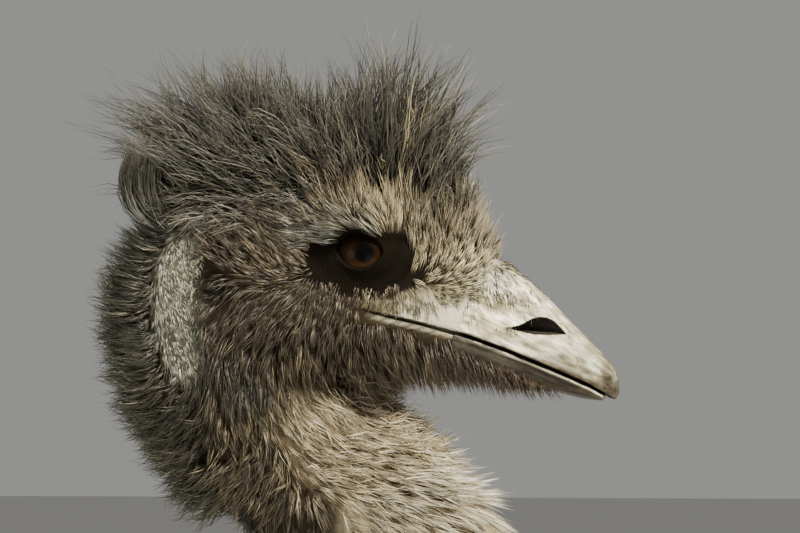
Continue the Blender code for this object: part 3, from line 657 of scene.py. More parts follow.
class Shader:
    """A material's nodes, made one at a time from their type, settings and inputs."""

    def __init__(self, name: str, roughness: float, **constants: float) -> None:
        """Starts a material with one Principled shader.

        Args:
            name: The material's name.
            roughness: Its roughness where nothing else is wired.
            constants: Other sockets of the shader, with _ for each space.
        """
        self.material = bpy.data.materials.new(name)
        self.material.use_nodes = True
        self.tree = self.material.node_tree
        self.principled = self.tree.nodes["Principled BSDF"]
        self.principled.inputs["Roughness"].default_value = roughness
        for key, value in constants.items():
            self.principled.inputs[key.replace("_", " ")].default_value = value

    def node(self, kind: str, settings: dict, inputs: dict, output: int | str = 0) -> Wire:
        """Adds a node.

        Args:
            kind: The node's type.
            settings: Its own properties.
            inputs: Values or wires by the socket's name or number.
            output: The socket that is returned.

        Returns:
            The wire from that socket.
        """
        made = self.tree.nodes.new(kind)
        for key, value in settings.items():
            setattr(made, key, value)
        for key, value in inputs.items():
            if isinstance(value, Wire):
                self.tree.links.new(value.socket, made.inputs[key])
            else:
                made.inputs[key].default_value = value
        return Wire(self, made.outputs[output])

    def place(self) -> Wire:
        """The point's place on the bird."""
        return self.node("ShaderNodeTexCoord", {}, {}, "Object")

    def stretched(self, scale: tuple) -> Wire:
        """The point's place, stretched along each axis."""
        settings = {"operation": "MULTIPLY"}
        return self.node("ShaderNodeVectorMath", settings, {0: self.place(), 1: scale})

    def noise(self, scale: float, detail: float = 2.0, where: Wire | None = None) -> Wire:
        """Cloudy noise from 0 to 1."""
        inputs = {"Vector": where or self.place(), "Scale": scale, "Detail": detail}
        return self.node("ShaderNodeTexNoise", {}, inputs)

    def tint(self) -> Wire:
        """The colour that the mesh holds at each point."""
        return self.node("ShaderNodeVertexColor", {"layer_name": "tint"}, {})

    def blend(self, share: Wire | float, first: Wire | tuple, second: Wire | tuple, how: str = "MIX") -> Wire:
        """One colour laid over another by a share.

        Args:
            share: How much of the second colour shows.
            first: The colour under it.
            second: The colour on top.
            how: The type of blend.

        Returns:
            The mixed colour.
        """
        settings = {"data_type": "RGBA", "blend_type": how}
        first = first if isinstance(first, Wire) else (*first, 1.0)
        second = second if isinstance(second, Wire) else (*second, 1.0)
        return self.node("ShaderNodeMix", settings, {0: share, 6: first, 7: second}, 2)

    def grey(self, value: Wire) -> Wire:
        """A grey colour of a value's brightness."""
        return self.node("ShaderNodeCombineColor", {}, {0: value, 1: value, 2: value})

    def relief(self, height: Wire, strength: float, depth: float) -> Wire:
        """A bump from a height."""
        inputs = {"Height": height, "Strength": strength, "Distance": depth}
        return self.node("ShaderNodeBump", {}, inputs)

    def wire(self, **sockets: Wire) -> Material:
        """Joins wires to the shader, with _ for each space, and returns the material.

        Args:
            sockets: Wires by the names of the shader's sockets.

        Returns:
            The material.
        """
        for key, value in sockets.items():
            self.tree.links.new(value.socket, self.principled.inputs[key.replace("_", " ")])
        return self.material


@dataclass(frozen=True)
class PlumeFinish:
    """Hair and feathers: the mesh's own colours with fine uneven gloss."""

    name: str = "plume"
    roughness: float = 0.46
    streak: float = 0.35

    def material(self) -> Material:
        """The finish as a material.

        Returns:
            The material.
        """
        book = Shader(self.name, self.roughness, Specular_IOR_Level=0.55)
        flecks = book.noise(900.0, 1.0) * self.streak + (1 - self.streak / 2)
        colour = book.blend(1.0, book.tint(), book.grey(flecks), "MULTIPLY")
        rough = book.noise(260.0, 1.0) * 0.3 + (self.roughness - 0.15)
        return book.wire(Base_Color=colour, Roughness=rough)


@dataclass(frozen=True)
class SkinFinish:
    """Bare skin: soft wrinkles and pores over the mesh's own colours."""

    name: str = "skin"
    roughness: float = 0.62
    relief_depth: float = 0.0006

    def material(self) -> Material:
        """The finish as a material.

        Returns:
            The material.
        """
        book = Shader(self.name, self.roughness, Specular_IOR_Level=0.04)
        mottle = book.noise(420.0, 4.0)
        colour = book.blend(1.0, book.tint(), book.grey(mottle * 0.6 + 0.7), "MULTIPLY")
        pores = book.node("ShaderNodeTexVoronoi", {}, {"Vector": book.place(), "Scale": 900.0})
        height = mottle * 0.6 + pores * 0.5
        bump = book.relief(height, 0.6, self.relief_depth)
        return book.wire(Base_Color=colour, Roughness=mottle * 0.25 + 0.6, Normal=bump)


@dataclass(frozen=True)
class HornFinish:
    """Horn: long growth streaks that follow the bill, faint stains and a worn polish."""

    name: str = "horn"
    roughness: float = 0.42
    slope: float = math.radians(24)
    grain: tuple = (7.0, 1.0, 1.0)
    stain: tuple = (0.40, 0.36, 0.26)

    def material(self) -> Material:
        """The finish as a material.

        Returns:
            The material.
        """
        gloss = {"Specular_IOR_Level": 0.3, "Coat_Weight": 0.06, "Coat_Roughness": 0.35}
        book = Shader(self.name, self.roughness, **gloss)
        settings = {"vector_type": "TEXTURE"}
        inputs = {"Vector": book.place(), "Rotation": (0.0, self.slope, 0.0), "Scale": self.grain}
        where = book.node("ShaderNodeMapping", settings, inputs)
        streaks = book.noise(700.0, 4.0, where)
        broad = book.noise(200.0, 3.0, where)
        cloud = book.noise(110.0, 4.0)
        colour = book.blend(1.0, book.tint(), book.grey(streaks * 3.4 - 0.70), "MULTIPLY")
        colour = book.blend(broad.step(0.44, 0.60) * 0.75, colour, self.stain, "MULTIPLY")
        colour = book.blend(cloud.step(0.46, 0.62) * 0.70, colour, self.stain, "MULTIPLY")
        bump = book.relief(streaks * 0.7 + broad * 0.4 + cloud * 0.5, 0.6, 0.0007)
        rough = streaks * 0.35 + (self.roughness - 0.15)
        return book.wire(Base_Color=colour, Roughness=rough, Normal=bump)


@dataclass(frozen=True)
class ScaleFinish:
    """Scaly shanks and toes: small raised scales with dark seams between them."""

    name: str = "scales"
    roughness: float = 0.55
    seam: tuple = (0.035, 0.030, 0.026)

    def material(self) -> Material:
        """The finish as a material.

        Returns:
            The material.
        """
        book = Shader(self.name, self.roughness, Specular_IOR_Level=0.4)
        settings = {"feature": "DISTANCE_TO_EDGE"}
        where = book.stretched((1.0, 1.0, 0.8))
        cells = book.node("ShaderNodeTexVoronoi", settings, {"Vector": where, "Scale": 240.0})
        raised = cells.step(0.0, 0.16)
        cloud = book.noise(150.0, 3.0)
        colour = book.blend(1.0, book.tint(), book.grey(cloud * 0.7 + 0.65), "MULTIPLY")
        colour = book.blend((1 - raised) * 0.55, colour, self.seam)
        bump = book.relief(raised + cloud * 0.4, 0.55, 0.0008)
        return book.wire(Base_Color=colour, Roughness=cloud * 0.3 + 0.42, Normal=bump)


@dataclass(frozen=True)
class EyeFinish:
    """A wet eye: the mesh's own colours with fine rays, under a thin clear coat."""

    name: str = "eye"
    roughness: float = 0.25

    def material(self) -> Material:
        """The finish as a material.

        Returns:
            The material.
        """
        wet = {"Specular_IOR_Level": 0.02, "Coat_Weight": 0.03, "Coat_Roughness": 0.03}
        book = Shader(self.name, self.roughness, **wet)
        rays = book.noise(700.0, 2.0) * 0.6 + 0.7
        return book.wire(Base_Color=book.blend(1.0, book.tint(), book.grey(rays), "MULTIPLY"))


@dataclass(frozen=True)
class FloorFinish:
    """A plain pale floor."""

    name: str = "pale_floor"
    colour: tuple = (0.62, 0.61, 0.58)

    def material(self) -> Material:
        """The finish as a material.

        Returns:
            The material.
        """
        book = Shader(self.name, 0.8)
        cloud = book.noise(1.2, 2.0) * 0.06 + 0.97
        return book.wire(Base_Color=book.blend(1.0, self.colour, book.grey(cloud), "MULTIPLY"))


# Colours and lie of the coat


@dataclass(frozen=True)
class Shade:
    """The colours of one kind of plumage: the skin under it, its roots and its tips."""

    skin: tuple
    root: tuple
    tip: tuple

    def row(self) -> Array:
        """The nine numbers of the three colours."""
        return np.array((*self.skin, *self.root, *self.tip))


class Plumage(Enum):
    """Kinds of plumage: LOOSE is the body's, ASH the pale patch's, JAW the chin's."""

    SOOT = Shade((0.020, 0.018, 0.012), (0.024, 0.021, 0.014), (0.105, 0.098, 0.067))
    CREST = Shade((0.014, 0.012, 0.009), (0.018, 0.016, 0.011), (0.105, 0.097, 0.070))
    NIGHT = Shade((0.008, 0.007, 0.005), (0.009, 0.008, 0.006), (0.036, 0.033, 0.024))
    # Grey-brown hair whose bright tips are partly a painted highlight where the light catches the side of the
    # mop
    TAUPE_AND_SHEEN = Shade((0.018, 0.015, 0.011), (0.026, 0.022, 0.016), (0.210, 0.190, 0.140))
    UMBER = Shade((0.024, 0.018, 0.011), (0.030, 0.022, 0.013), (0.160, 0.126, 0.078))
    BROWN = Shade((0.028, 0.021, 0.012), (0.030, 0.022, 0.012), (0.195, 0.157, 0.092))
    # Golden-brown hair whose bright tips are partly a painted highlight where the light catches the temple
    GOLD_AND_SHEEN = Shade((0.040, 0.030, 0.016), (0.050, 0.038, 0.020), (0.440, 0.362, 0.212))
    BRISTLE = Shade((0.270, 0.240, 0.155), (0.060, 0.046, 0.026), (0.520, 0.465, 0.290))
    LORE = Shade((0.024, 0.018, 0.010), (0.024, 0.018, 0.009), (0.430, 0.352, 0.205))
    BARE = Shade((0.620, 0.580, 0.430), (0.040, 0.032, 0.022), (0.120, 0.098, 0.060))
    SMOKE = Shade((0.022, 0.021, 0.016), (0.050, 0.048, 0.037), (0.300, 0.290, 0.225))
    ASH = Shade((0.100, 0.090, 0.060), (0.130, 0.118, 0.080), (1.000, 0.985, 0.740))
    FAWN = Shade((0.120, 0.090, 0.052), (0.160, 0.120, 0.070), (0.720, 0.605, 0.395))
    CREAM = Shade((0.300, 0.250, 0.155), (0.300, 0.245, 0.145), (0.900, 0.815, 0.590))
    # LOOSE's skin is near-black so that the gaps between the body's feathers read as shadow: painted shade
    LOOSE = Shade((0.018, 0.014, 0.010), (0.095, 0.072, 0.050), (0.085, 0.068, 0.052))
    JAW = Shade((0.160, 0.090, 0.042), (0.040, 0.028, 0.018), (0.100, 0.078, 0.050))


@dataclass(frozen=True)
class Guide:
    """How the coat grows near one place of the head.

    The place is in millimetres from the head's place: along, up, and aside from the middle.
    lie is the way the hairs point, in degrees from forward towards up, and curl turns them on
    from there. out is how much they lean away from the middle. reach is how far the guide is
    felt, and mess how unevenly the hairs lie, in degrees.
    """

    place: tuple
    lie: float
    out: float
    length: float
    curl: float
    kind: Plumage
    reach: float = 11.0
    density: float = 1.0
    mess: float = 12.0


P = Plumage
HEAD_GUIDES = (
    # Forehead and the front of the crest
    Guide((52, -1, 3), 52, 0.15, 12, 40, P.BROWN, 8, 1.0, 10),
    Guide((43, 9, 4), 62, 0.15, 20, 30, P.BROWN, 9, 1.1, 12),
    Guide((31, 19, 4), 68, 0.15, 28, 16, P.CREST, 9, 1.1, 14),
    Guide((21, 25, 4), 64, 0.15, 60, -10, P.CREST, 7, 0.9, 15),
    Guide((10, 29, 4), 76, 0.12, 75, -22, P.CREST, 9, 1.0, 13),
    # Crown, and the back of the crest that sweeps to the rear
    Guide((-8, 32, 4), 98, 0.20, 46, 10, P.CREST, 11, 1.3, 17),
    Guide((-32, 31, 4), 106, 0.20, 56, 16, P.CREST, 10, 1.5, 15),
    Guide((-47, 28, 4), 112, 0.20, 66, 26, P.CREST, 8, 1.5, 12),
    Guide((-57, 22, 6), 128, 0.15, 77, 48, P.CREST, 6, 1.5, 8),
    Guide((-68, 13, 8), 156, 0.15, 12, -40, P.NIGHT, 6, 1.2, 12),
    Guide((-63, 13, 19), 170, 0.20, 13, -30, P.NIGHT, 6, 1.2, 14),
    Guide((-75, 5, 13), 168, 0.20, 12, -40, P.NIGHT, 5, 1.2, 12),
    Guide((-80, 5, 6), 160, 0.30, 16, -40, P.SOOT, 5, 1.2, 12),
    # Mop that falls from the crown over the temples
    Guide((-20, 27, 17), 120, 0.45, 38, 44, P.CREST, 8, 1.3, 20),
    Guide((-44, 24, 17), 126, 0.40, 48, 46, P.CREST, 8, 1.4, 18),
    Guide((-24, 21, 29), 218, 0.35, 19, 30, P.TAUPE_AND_SHEEN, 8, 1.4, 30),
    Guide((-48, 16, 27), 224, 0.30, 20, 30, P.TAUPE_AND_SHEEN, 8, 1.4, 28),
    Guide((2, 27, 17), 106, 0.35, 28, 20, P.CREST, 7, 1.2, 18),
    # Temples and brow
    Guide((2, 18, 28), 102, 0.12, 15, 4, P.BROWN, 8, 1.1, 12),
    Guide((16, 15, 27), 93, 0.12, 15, 6, P.GOLD_AND_SHEEN, 8, 1.2, 11),
    Guide((25, 12, 24), 92, 0.12, 15, 8, P.BROWN, 7, 1.1, 11),
    Guide((34, 3, 24), 92, 0.12, 13, 5, P.BROWN, 8, 1.0, 10),
    Guide((-26, 15, 33), 132, 0.12, 13, 10, P.UMBER, 10, 1.1, 18),
    Guide((-4, 9, 35), 176, 0.30, 12, 8, P.SMOKE, 4, 1.6, 10),
    Guide((12, 9, 33), 150, 0.25, 10, 10, P.SMOKE, 4, 1.4, 10),
    Guide((-18, 7, 35), 176, 0.25, 12, 8, P.SMOKE, 4, 1.4, 10),
    # Round the eye and towards the bill
    Guide((29, 9, 26), -76, 0.15, 7, -6, P.BROWN, 4, 1.5, 14),
    Guide((34, -2, 27), 84, 0.15, 10, 4, P.LORE, 6, 1.5, 12),
    Guide((44, -3, 22), 74, 0.15, 9, 6, P.LORE, 6, 1.5, 14),
    Guide((51, -6, 17), 52, 0.12, 8, 8, P.BRISTLE, 5, 1.3, 16),
    Guide((36, -10, 27), 40, 0.15, 8, 0, P.LORE, 5, 1.5, 16),
    Guide((45, -13, 21), 12, 0.15, 8, 0, P.BRISTLE, 6, 1.3, 20),
    Guide((39, -19, 25), -42, 0.12, 7, -4, P.BRISTLE, 5, 1.3, 14),
    Guide((29, -19, 29), -78, 0.12, 7, -4, P.BRISTLE, 6, 1.4, 10),
    Guide((15, -18, 33), -90, 0.12, 8, -4, P.LORE, 6, 1.5, 10),
    Guide((-6, -19, 35), -104, 0.12, 8, -6, P.UMBER, 7, 1.5, 12),
    Guide((-29, -4, 36), 128, 0.12, 11, 10, P.BROWN, 8, 1.2, 14),
    # Cheek, ear and jaw
    Guide((-48, 6, 33), 126, 0.15, 11, 12, P.UMBER, 9, 1.1, 16),
    Guide((-6, -34, 33), -98, 0.15, 10, 8, P.UMBER, 9, 1.1, 14),
    Guide((-28, -24, 36), -124, 0.18, 13, 12, P.UMBER, 10, 1.1, 18),
    Guide((-46, -26, 35), -112, 0.18, 14, 14, P.UMBER, 9, 1.1, 18),
    Guide((-55, -14, 31), -140, 0.15, 7, 10, P.SOOT, 5, 0.7, 16),
    Guide((-20, -44, 30), -84, 0.22, 17, 16, P.BROWN, 10, 1.1, 14),
    Guide((-45, -47, 26), -88, 0.22, 18, 14, P.SOOT, 10, 1.1, 16),
    Guide((16, -38, 26), -76, 0.18, 12, 8, P.UMBER, 9, 1.1, 12),
    Guide((0, -47, 14), -62, 0.15, 24, 8, P.UMBER, 10, 1.2, 12),
    Guide((24, -43, 10), -70, 0.12, 18, 6, P.UMBER, 9, 1.2, 12),
    Guide((38, -44, 12), -78, 0.12, 12, 6, P.JAW, 8, 1.1, 10),
    Guide((48, -46, 6), -80, 0.10, 10, 6, P.JAW, 7, 0.9, 10),
    # Throat
    Guide((-15, -64, 24), -42, 0.18, 16, 14, P.FAWN, 10, 1.1, 15),
    Guide((12, -70, 6), -14, 0.15, 22, 2, P.FAWN, 10, 1.2, 14),
    Guide((0, -86, 30), -16, 0.18, 15, 6, P.FAWN, 11, 1.1, 15),
    Guide((32, -98, 18), -12, 0.18, 20, 4, P.CREAM, 12, 1.2, 14),
    Guide((10, -108, 33), -22, 0.20, 18, 6, P.CREAM, 11, 1.1, 16),
    # Pale patch down the side of the neck
    Guide((-61, 15, 26), -58, 0.12, 5, 0, P.ASH, 6.0, 1.5, 14),
    Guide((-67, 4, 26), -60, 0.12, 5, 0, P.ASH, 6.4, 1.5, 14),
    Guide((-72, -10, 27), -58, 0.12, 5, 0, P.ASH, 6.8, 1.5, 14),
    Guide((-71, -26, 29), -56, 0.12, 5, 0, P.ASH, 7.0, 1.5, 14),
    Guide((-67, -39, 31), -56, 0.12, 5, 0, P.ASH, 6, 1.5, 12),
    # Nape fringe, and the dark side of the neck under it
    Guide((-88, 2, 8), 164, 0.30, 21, -32, P.SOOT, 9, 1.2, 16),
    Guide((-91, -20, 8), 172, 0.30, 22, -32, P.SOOT, 9, 1.2, 16),
    Guide((-90, -42, 8), 178, 0.30, 22, -30, P.SOOT, 9, 1.2, 16),
    Guide((-84, -62, 8), 186, 0.30, 22, -26, P.SOOT, 9, 1.2, 18),
    Guide((-72, -82, 8), 196, 0.30, 22, -26, P.SOOT, 10, 1.2, 20),
    Guide((-56, -100, 8), 206, 0.30, 22, -22, P.SOOT, 10, 1.2, 20),
    Guide((-86, -14, 20), 176, 0.30, 16, -20, P.SOOT, 6, 1.2, 16),
    Guide((-84, -36, 21), 180, 0.30, 16, -20, P.SOOT, 6, 1.2, 16),
    Guide((-66, -62, 26), -122, 0.22, 14, -30, P.UMBER, 9, 1.1, 26),
    Guide((-47, -66, 30), -66, 0.22, 13, -8, P.BROWN, 8, 1.0, 20),
    Guide((-40, -90, 32), -104, 0.24, 14, -34, P.BROWN, 10, 1.1, 30),
    Guide((-14, -108, 33), -84, 0.24, 15, -24, P.UMBER, 9, 1.0, 28),
)
# How far under the head's place the guides end, and over what height they fade in, in metres
HEAD_GUIDE_FOOT, HEAD_GUIDE_FADE = 0.128, 0.03


@dataclass
class CoatMap:
    """The lie, length and colours of the coat all over the bird."""

    colour_edge: float = 2.4
    line_points: int = 60
    least_radius: float = 0.008
    batch: int = 4000
    body_length: float = 0.150
    wing_length: float = 0.090
    # Places along the neck and the legs, and the coat's length there
    neck_lengths: tuple = ((1.0, 2.5, 4.0, 6.0), (0.115, 0.090, 0.055, 0.026))
    leg_lengths: tuple = ((0.0, 1.5, 3.0), (0.110, 0.085, 0.045))
    # The ways that hairs lie: what is added to the neck's line, then at its foot, leg and wing
    neck_fall: Array = held(0.0, 0.0, -0.25)
    shoulder_way: Array = held(-0.9, 0.0, -0.45)
    leg_way: Array = held(-0.35, 0.0, -1.0)
    wing_way: Array = held(-0.85, 0.0, -0.5)
    body_mess: float = 10.0

    def __post_init__(self) -> None:
        """Lays out the guides and the middle lines of every form."""
        self.places = np.array([g.place for g in HEAD_GUIDES], float)
        self.reach = np.array([g.reach for g in HEAD_GUIDES])
        lie = np.radians([g.lie for g in HEAD_GUIDES])
        self.way = np.stack([np.cos(lie), np.sin(lie)], 1)
        columns = [(g.out, g.length * MM, math.radians(g.curl), g.density, g.mess) for g in HEAD_GUIDES]
        self.values = np.array(columns)
        self.shades = np.array([g.kind.value.row() for g in HEAD_GUIDES])
        self.axes = [HEAD, NECK, TORSO, *LEGS.values(), *WINGS.values()]
        rows = []
        for number, axis in enumerate(self.axes):
            places = np.linspace(0, axis.last, self.line_points)
            here = axis.at(places)
            numbers = np.full(len(places), number)
            rows.append((here[:, :3], *axis.frames(places), here[:, 3:].mean(1), numbers, places))
        columns = [np.concatenate(column) for column in zip(*rows)]
        self.line, self.heading, self.across, self.back, radius, self.number, self.share = columns
        self.radius = np.maximum(radius, self.least_radius)

    def locate(self, points: Array) -> Array:
        """Which point of the middle lines each point belongs to.

        Args:
            points: Places in the frame.

        Returns:
            The number of one of the lines' points for each.
        """
        found = np.empty(len(points), int)
        for start in range(0, len(points), self.batch):
            part = points[start : start + self.batch]
            gap = np.linalg.norm(part[:, None] - self.line[None], axis=2) / self.radius
            found[start : start + self.batch] = gap.argmin(1)
        return found

    def kind(self, nearest: Array) -> Array:
        """The part of the body that each point of the middle lines belongs to."""
        return np.array([axis.kind for axis in self.axes])[self.number[nearest]]

    def chart(self, points: Array, nearest: Array) -> Array:
        """Each point's place on a flat unwrap of the skin: round the form, and along it.

        Args:
            points: Places in the frame.
            nearest: What locate gave for them.

        Returns:
            Two numbers a place, from 0 to 1.
        """
        offset = points - self.line[nearest]
        aside = (offset * self.across[nearest]).sum(1)
        rise = (offset * self.back[nearest]).sum(1)
        around = np.arctan2(aside, rise) / (2 * math.pi) + 0.5
        number = self.number[nearest]
        lasts = np.array([axis.last for axis in self.axes])
        along = self.share[nearest] / lasts[number]
        # The head, neck and torso share the left of the map, and the limbs its right
        trunk = number < 3
        left = np.stack([0.01 + 0.66 * around, 0.01 + (number + along) * 0.325], 1)
        right = np.stack([0.69 + 0.30 * around, 0.01 + (number - 3 + along) * 0.24], 1)
        return np.clip(np.where(trunk[:, None], left, right), 0.002, 0.995)

    def near_head(self, points: Array) -> Array:
        """How far each point is under the head's guides, from 0 on the neck to 1 on the head."""
        foot = HEAD_PLACE[2] - HEAD_GUIDE_FOOT
        return smooth(points[:, 2], foot, foot + HEAD_GUIDE_FADE)

    def guide_weights(self, points: Array) -> Array:
        """How strongly each guide is felt at each point, with a sum of 1.

        Args:
            points: Places in the frame.

        Returns:
            One row a place, with a column a guide.
        """
        local = from_head(points)[:, [0, 2, 1]]
        local[:, 2] = np.abs(local[:, 2])
        gap = np.linalg.norm(local[:, None] - self.places[None], axis=2) / self.reach
        pull = np.exp(-0.5 * np.minimum(gap, 30.0) ** 2 * 1.6) + 1e-30 * np.exp(-gap)
        return pull / pull.sum(1, keepdims=True)

    def body_shades(self, points: Array, nearest: Array) -> Array:
        """The colours under the head: dark down the nape, pale down the throat, grey-brown on.

        Args:
            points: Places in the frame.
            nearest: What locate gave for them.

        Returns:
            Nine numbers a row, as colours gives.
        """
        offset = points - self.line[nearest]
        front = -(offset * self.back[nearest]).sum(1) / self.radius[nearest]
        neck = self.number[nearest] == 1
        low = 1 - smooth(points[:, 2], 1.20, 1.40)
        throat = smooth(front, -0.1, 0.8) * (1 - 0.86 * low)
        pale = np.where(neck, throat, 0.12 * smooth(-points[:, 2], -0.80, -0.62))
        dark = np.where(neck, smooth(-front, 0.0, 0.7), 0.35)
        base, body, cream, soot = (kind.value.row() for kind in (P.UMBER, P.LOOSE, P.CREAM, P.SOOT))
        start = np.where(neck[:, None] & (low < 0.6)[:, None], base, body)
        mixed = start * (1 - 0.6 * dark[:, None]) + soot * 0.6 * dark[:, None]
        return mix(mixed, cream, pale[:, None])

    def colours(self, points: Array, nearest: Array) -> Array:
        """Skin, root and tip colours at each point, nine numbers a row.

        Args:
            points: Places in the frame.
            nearest: What locate gave for them.

        Returns:
            Skin, root and tip colours in a row.
        """
        found = self.body_shades(points, nearest)
        near = self.near_head(points)
        high = near > 0
        if high.any():
            weights = self.guide_weights(points[high]) ** self.colour_edge
            guided = (weights / weights.sum(1, keepdims=True)) @ self.shades
            found[high] = mix(found[high], guided, near[high][:, None])
        return found

    def lies(self, points: Array, normals: Array, nearest: Array) -> tuple:
        """The way the coat grows at each point.

        Args:
            points: Places on the skin.
            normals: The skin's normals there.
            nearest: What locate gave for them.

        Returns:
            Directions, and the columns out, length, curl, density and mess.
        """
        part = self.kind(nearest)
        side = np.where(points[:, 1] < 0, -1.0, 1.0)
        heading = self.heading[nearest]
        top = np.clip(normals[:, 2], 0, 1) ** 2
        rear = 1 - smooth(points[:, 0], -0.36, -0.16)
        aims = np.stack([-0.88 + 0.50 * rear, 0.45 * side * top, -0.62 - 0.45 * rear], 1)
        place = self.share[nearest]
        breast = smooth(place, 7.0, 8.6)[:, None]
        hanging = np.stack([np.full(len(points), -0.1), 0.55 * side, np.full(len(points), -1.0)], 1)
        aims = mix(aims, hanging, breast)
        root = (smooth(place, 0.6, 1.8) * np.clip(0.5 + 0.5 * place, 0, 1))[:, None]
        down = (self.neck_fall - heading) * root + self.shoulder_way * (1 - root)
        aims = np.where((part == "neck")[:, None], down, aims)
        aims = np.where((part == "leg")[:, None], self.leg_way, aims)
        aims = np.where((part == "wing")[:, None], self.wing_way, aims)
        aims = unit(aims)
        length = np.full(len(points), self.body_length)
        length = np.where(part == "neck", np.interp(place, *self.neck_lengths), length)
        length = np.where(part == "leg", np.interp(place, *self.leg_lengths), length)
        length = np.where(part == "wing", self.wing_length, length)
        length = length * (1 - 0.15 * rear)
        none = np.zeros(len(points))
        values = np.stack([none, length, none, none + 1, none + self.body_mess], 1)
        near = self.near_head(points)
        high = near > 0
        if high.any():
            weights = self.guide_weights(points[high])
            flat = weights @ self.way
            guided = weights @ self.values
            half = np.abs(points[high, 1]) / 0.03
            out = guided[:, 0] * np.clip(half, 0, 1) * side[high]
            way = unit(np.stack([flat[:, 0], out, flat[:, 1]], 1))
            share = near[high][:, None]
            aims[high] = unit(mix(aims[high], way, share))
            values[high] = mix(values[high], guided, share)
        return aims, values


@dataclass
class Skin:
    """The one skin under the coat, from the bill's root to the tail and the ankles.

    The head's shell has finer faces than the body's. They meet at join_place on the neck, where
    the body's shell runs on by overlap, in stations, and is thinner by the share tuck.
    """

    head_face: float = 0.0012
    body_face: float = 0.0058
    face_end: float = 8.02
    join_place: float = 5.8
    overlap: float = 0.5
    tuck: float = 0.05
    # From the middle of the eye: where the folds of the face fade out, so that the lids stay
    clear_from: float = 0.0175
    clear_to: float = 0.0225
    eye_radius: float = 0.0150
    lid_radius: float = 0.0168
    # Half sizes of the almond between the lids, its shift along and up, and its tilt
    opening_half: tuple = (0.0092, 0.0077)
    opening_shift: tuple = (-0.0005, 0.0010)
    opening_tilt: float = math.radians(-7)
    rim: float = 0.0011
    rim_sides: int = 10
    # The mouth as (along, up, half the gap) in millimetres, and the head's half width there
    mouth: tuple = (
        (5.0, -22.2, 0.2),
        (9.0, -23.1, 0.6),
        (16.0, -24.9, 0.9),
        (30.0, -28.5, 1.0),
        (54.0, -36.2, 1.1),
    )
    mouth_widths: tuple = ((0, 16, 30, 43, 54), (35.0, 31.5, 26.5, 21.0, 17.5))
    # Folds of the face as (along, up, along radius, up radius, rise) in millimetres
    folds: tuple = (
        (2, 10.5, 22, 4.0, 3.2),
        (16, 8.0, 12, 4.0, 1.2),
        (0, -3, 23, 8, -2.0),
        (26, -8, 11, 7, -2.2),
        (-26, -30, 20, 14, 2.2),
        (8, -28, 26, 2.6, 0.8),
        (-55, -14, 4.5, 5.5, -4.0),
        (46, -24, 12, 7, 0.8),
    )
    # Where the tint of the eye's surround ends, as eye_surround gives it
    surround_fade: tuple = (1.14, 1.46)
    surround_colour: tuple = (0.005, 0.0037, 0.0020)
    ear_shade_colour: tuple = (0.008, 0.006, 0.004)
    strip_colour: tuple = (0.58, 0.54, 0.40)
    jaw_colour: tuple = (0.050, 0.040, 0.024)
    lip_colour: tuple = (0.42, 0.38, 0.27)
    gape_shadow_colour: tuple = (0.006, 0.005, 0.004)

    def head_shell(self) -> Object:
        """The head and the top of the neck, with the folds of the face and the lids.

        Returns:
            The mesh object.
        """
        face = loft("face", HEAD.rings(np.linspace(0, self.face_end, 90), 72))
        neck = loft("stub", NECK.rings(np.linspace(self.join_place, NECK.last, 60), 64))
        lids = [ball("lid", self.eye_centre(side), (self.lid_radius,) * 3, 64) for side in SIDES.values()]
        shell = remesh([face, neck, *lids], "skin", self.head_face, 8)
        points, normals = corners(shell.data), corners(shell.data, "normal")
        local = from_head(points)
        outward = smooth(np.abs(local[:, 1]), 12.0, 24.0)
        rise = np.zeros(len(points))
        for along, up, wide, tall, height in self.folds:
            rise += height * bell(local[:, 0], along, wide) * bell(local[:, 2], up, tall)
        clear = smooth(from_eye(points), self.clear_from, self.clear_to)
        rise = np.where(rise < 0, rise * clear, rise)
        move_corners(shell.data, points + normals * (rise * outward * MM)[:, None])
        return shell

    def body_shell(self) -> Object:
        """The torso, tail, neck, thighs and wings, a little inside the head's shell above.

        Returns:
            The mesh object.
        """
        places = np.linspace(0, self.join_place + self.overlap, 60)
        middle = NECK.at(places)[:, None, :3]
        shrink = 1 - self.tuck * smooth(np.linspace(0, 1, 60), 0.7, 0.95)[:, None, None]
        parts = [loft("neck", middle + (NECK.rings(places, 40) - middle) * shrink)]
        parts.append(loft("torso", TORSO.rings(np.linspace(0, TORSO.last, 80), 56)))
        for name in SIDES:
            thigh = LEGS[name].rings(np.linspace(0, ANKLE_PLACE - 0.05, 40), 32)
            parts.append(loft("thigh", thigh))
            parts.append(loft("wing", WINGS[name].rings(np.linspace(0, 3, 24), 20)))
        return remesh(parts, "body", self.body_face, 6)

    def eye_centre(self, side: float) -> tuple:
        """The middle of one eyeball."""
        return (EYE_MIDDLE.x, side * EYE_ASIDE, EYE_MIDDLE.z)

    def opening(self, grow: float = 0.0) -> tuple[Array, Array]:
        """The almond between the lids: how far along and up its edge is from the eye's middle.

        Args:
            grow: How much larger it is made.

        Returns:
            Offsets along and up, in metres.
        """
        turn = np.linspace(0, 2 * math.pi, 72, endpoint=False)
        across = (self.opening_half[0] + grow) * (np.cos(turn) + 0.06 * np.cos(turn) ** 3)
        up = (self.opening_half[1] + grow) * np.sin(turn) * (1 - 0.10 * np.cos(turn) ** 2)
        cos, sin = math.cos(self.opening_tilt), math.sin(self.opening_tilt)
        along = across * cos - up * sin + self.opening_shift[0]
        return along, across * sin + up * cos + self.opening_shift[1]

    def opening_cut(self, side: float) -> Object:
        """The prism that opens the lids, down to inside the eyeball.

        Args:
            side: -1 on the right, 1 on the left.

        Returns:
            The prism.
        """
        along, up = self.opening()
        rings = []
        for depth in (0.006, 0.030):
            aside = np.full(len(along), side * depth)
            rings.append(np.array(self.eye_centre(side)) + np.stack([along, aside, up], 1))
        return loft("opening", np.array(rings))

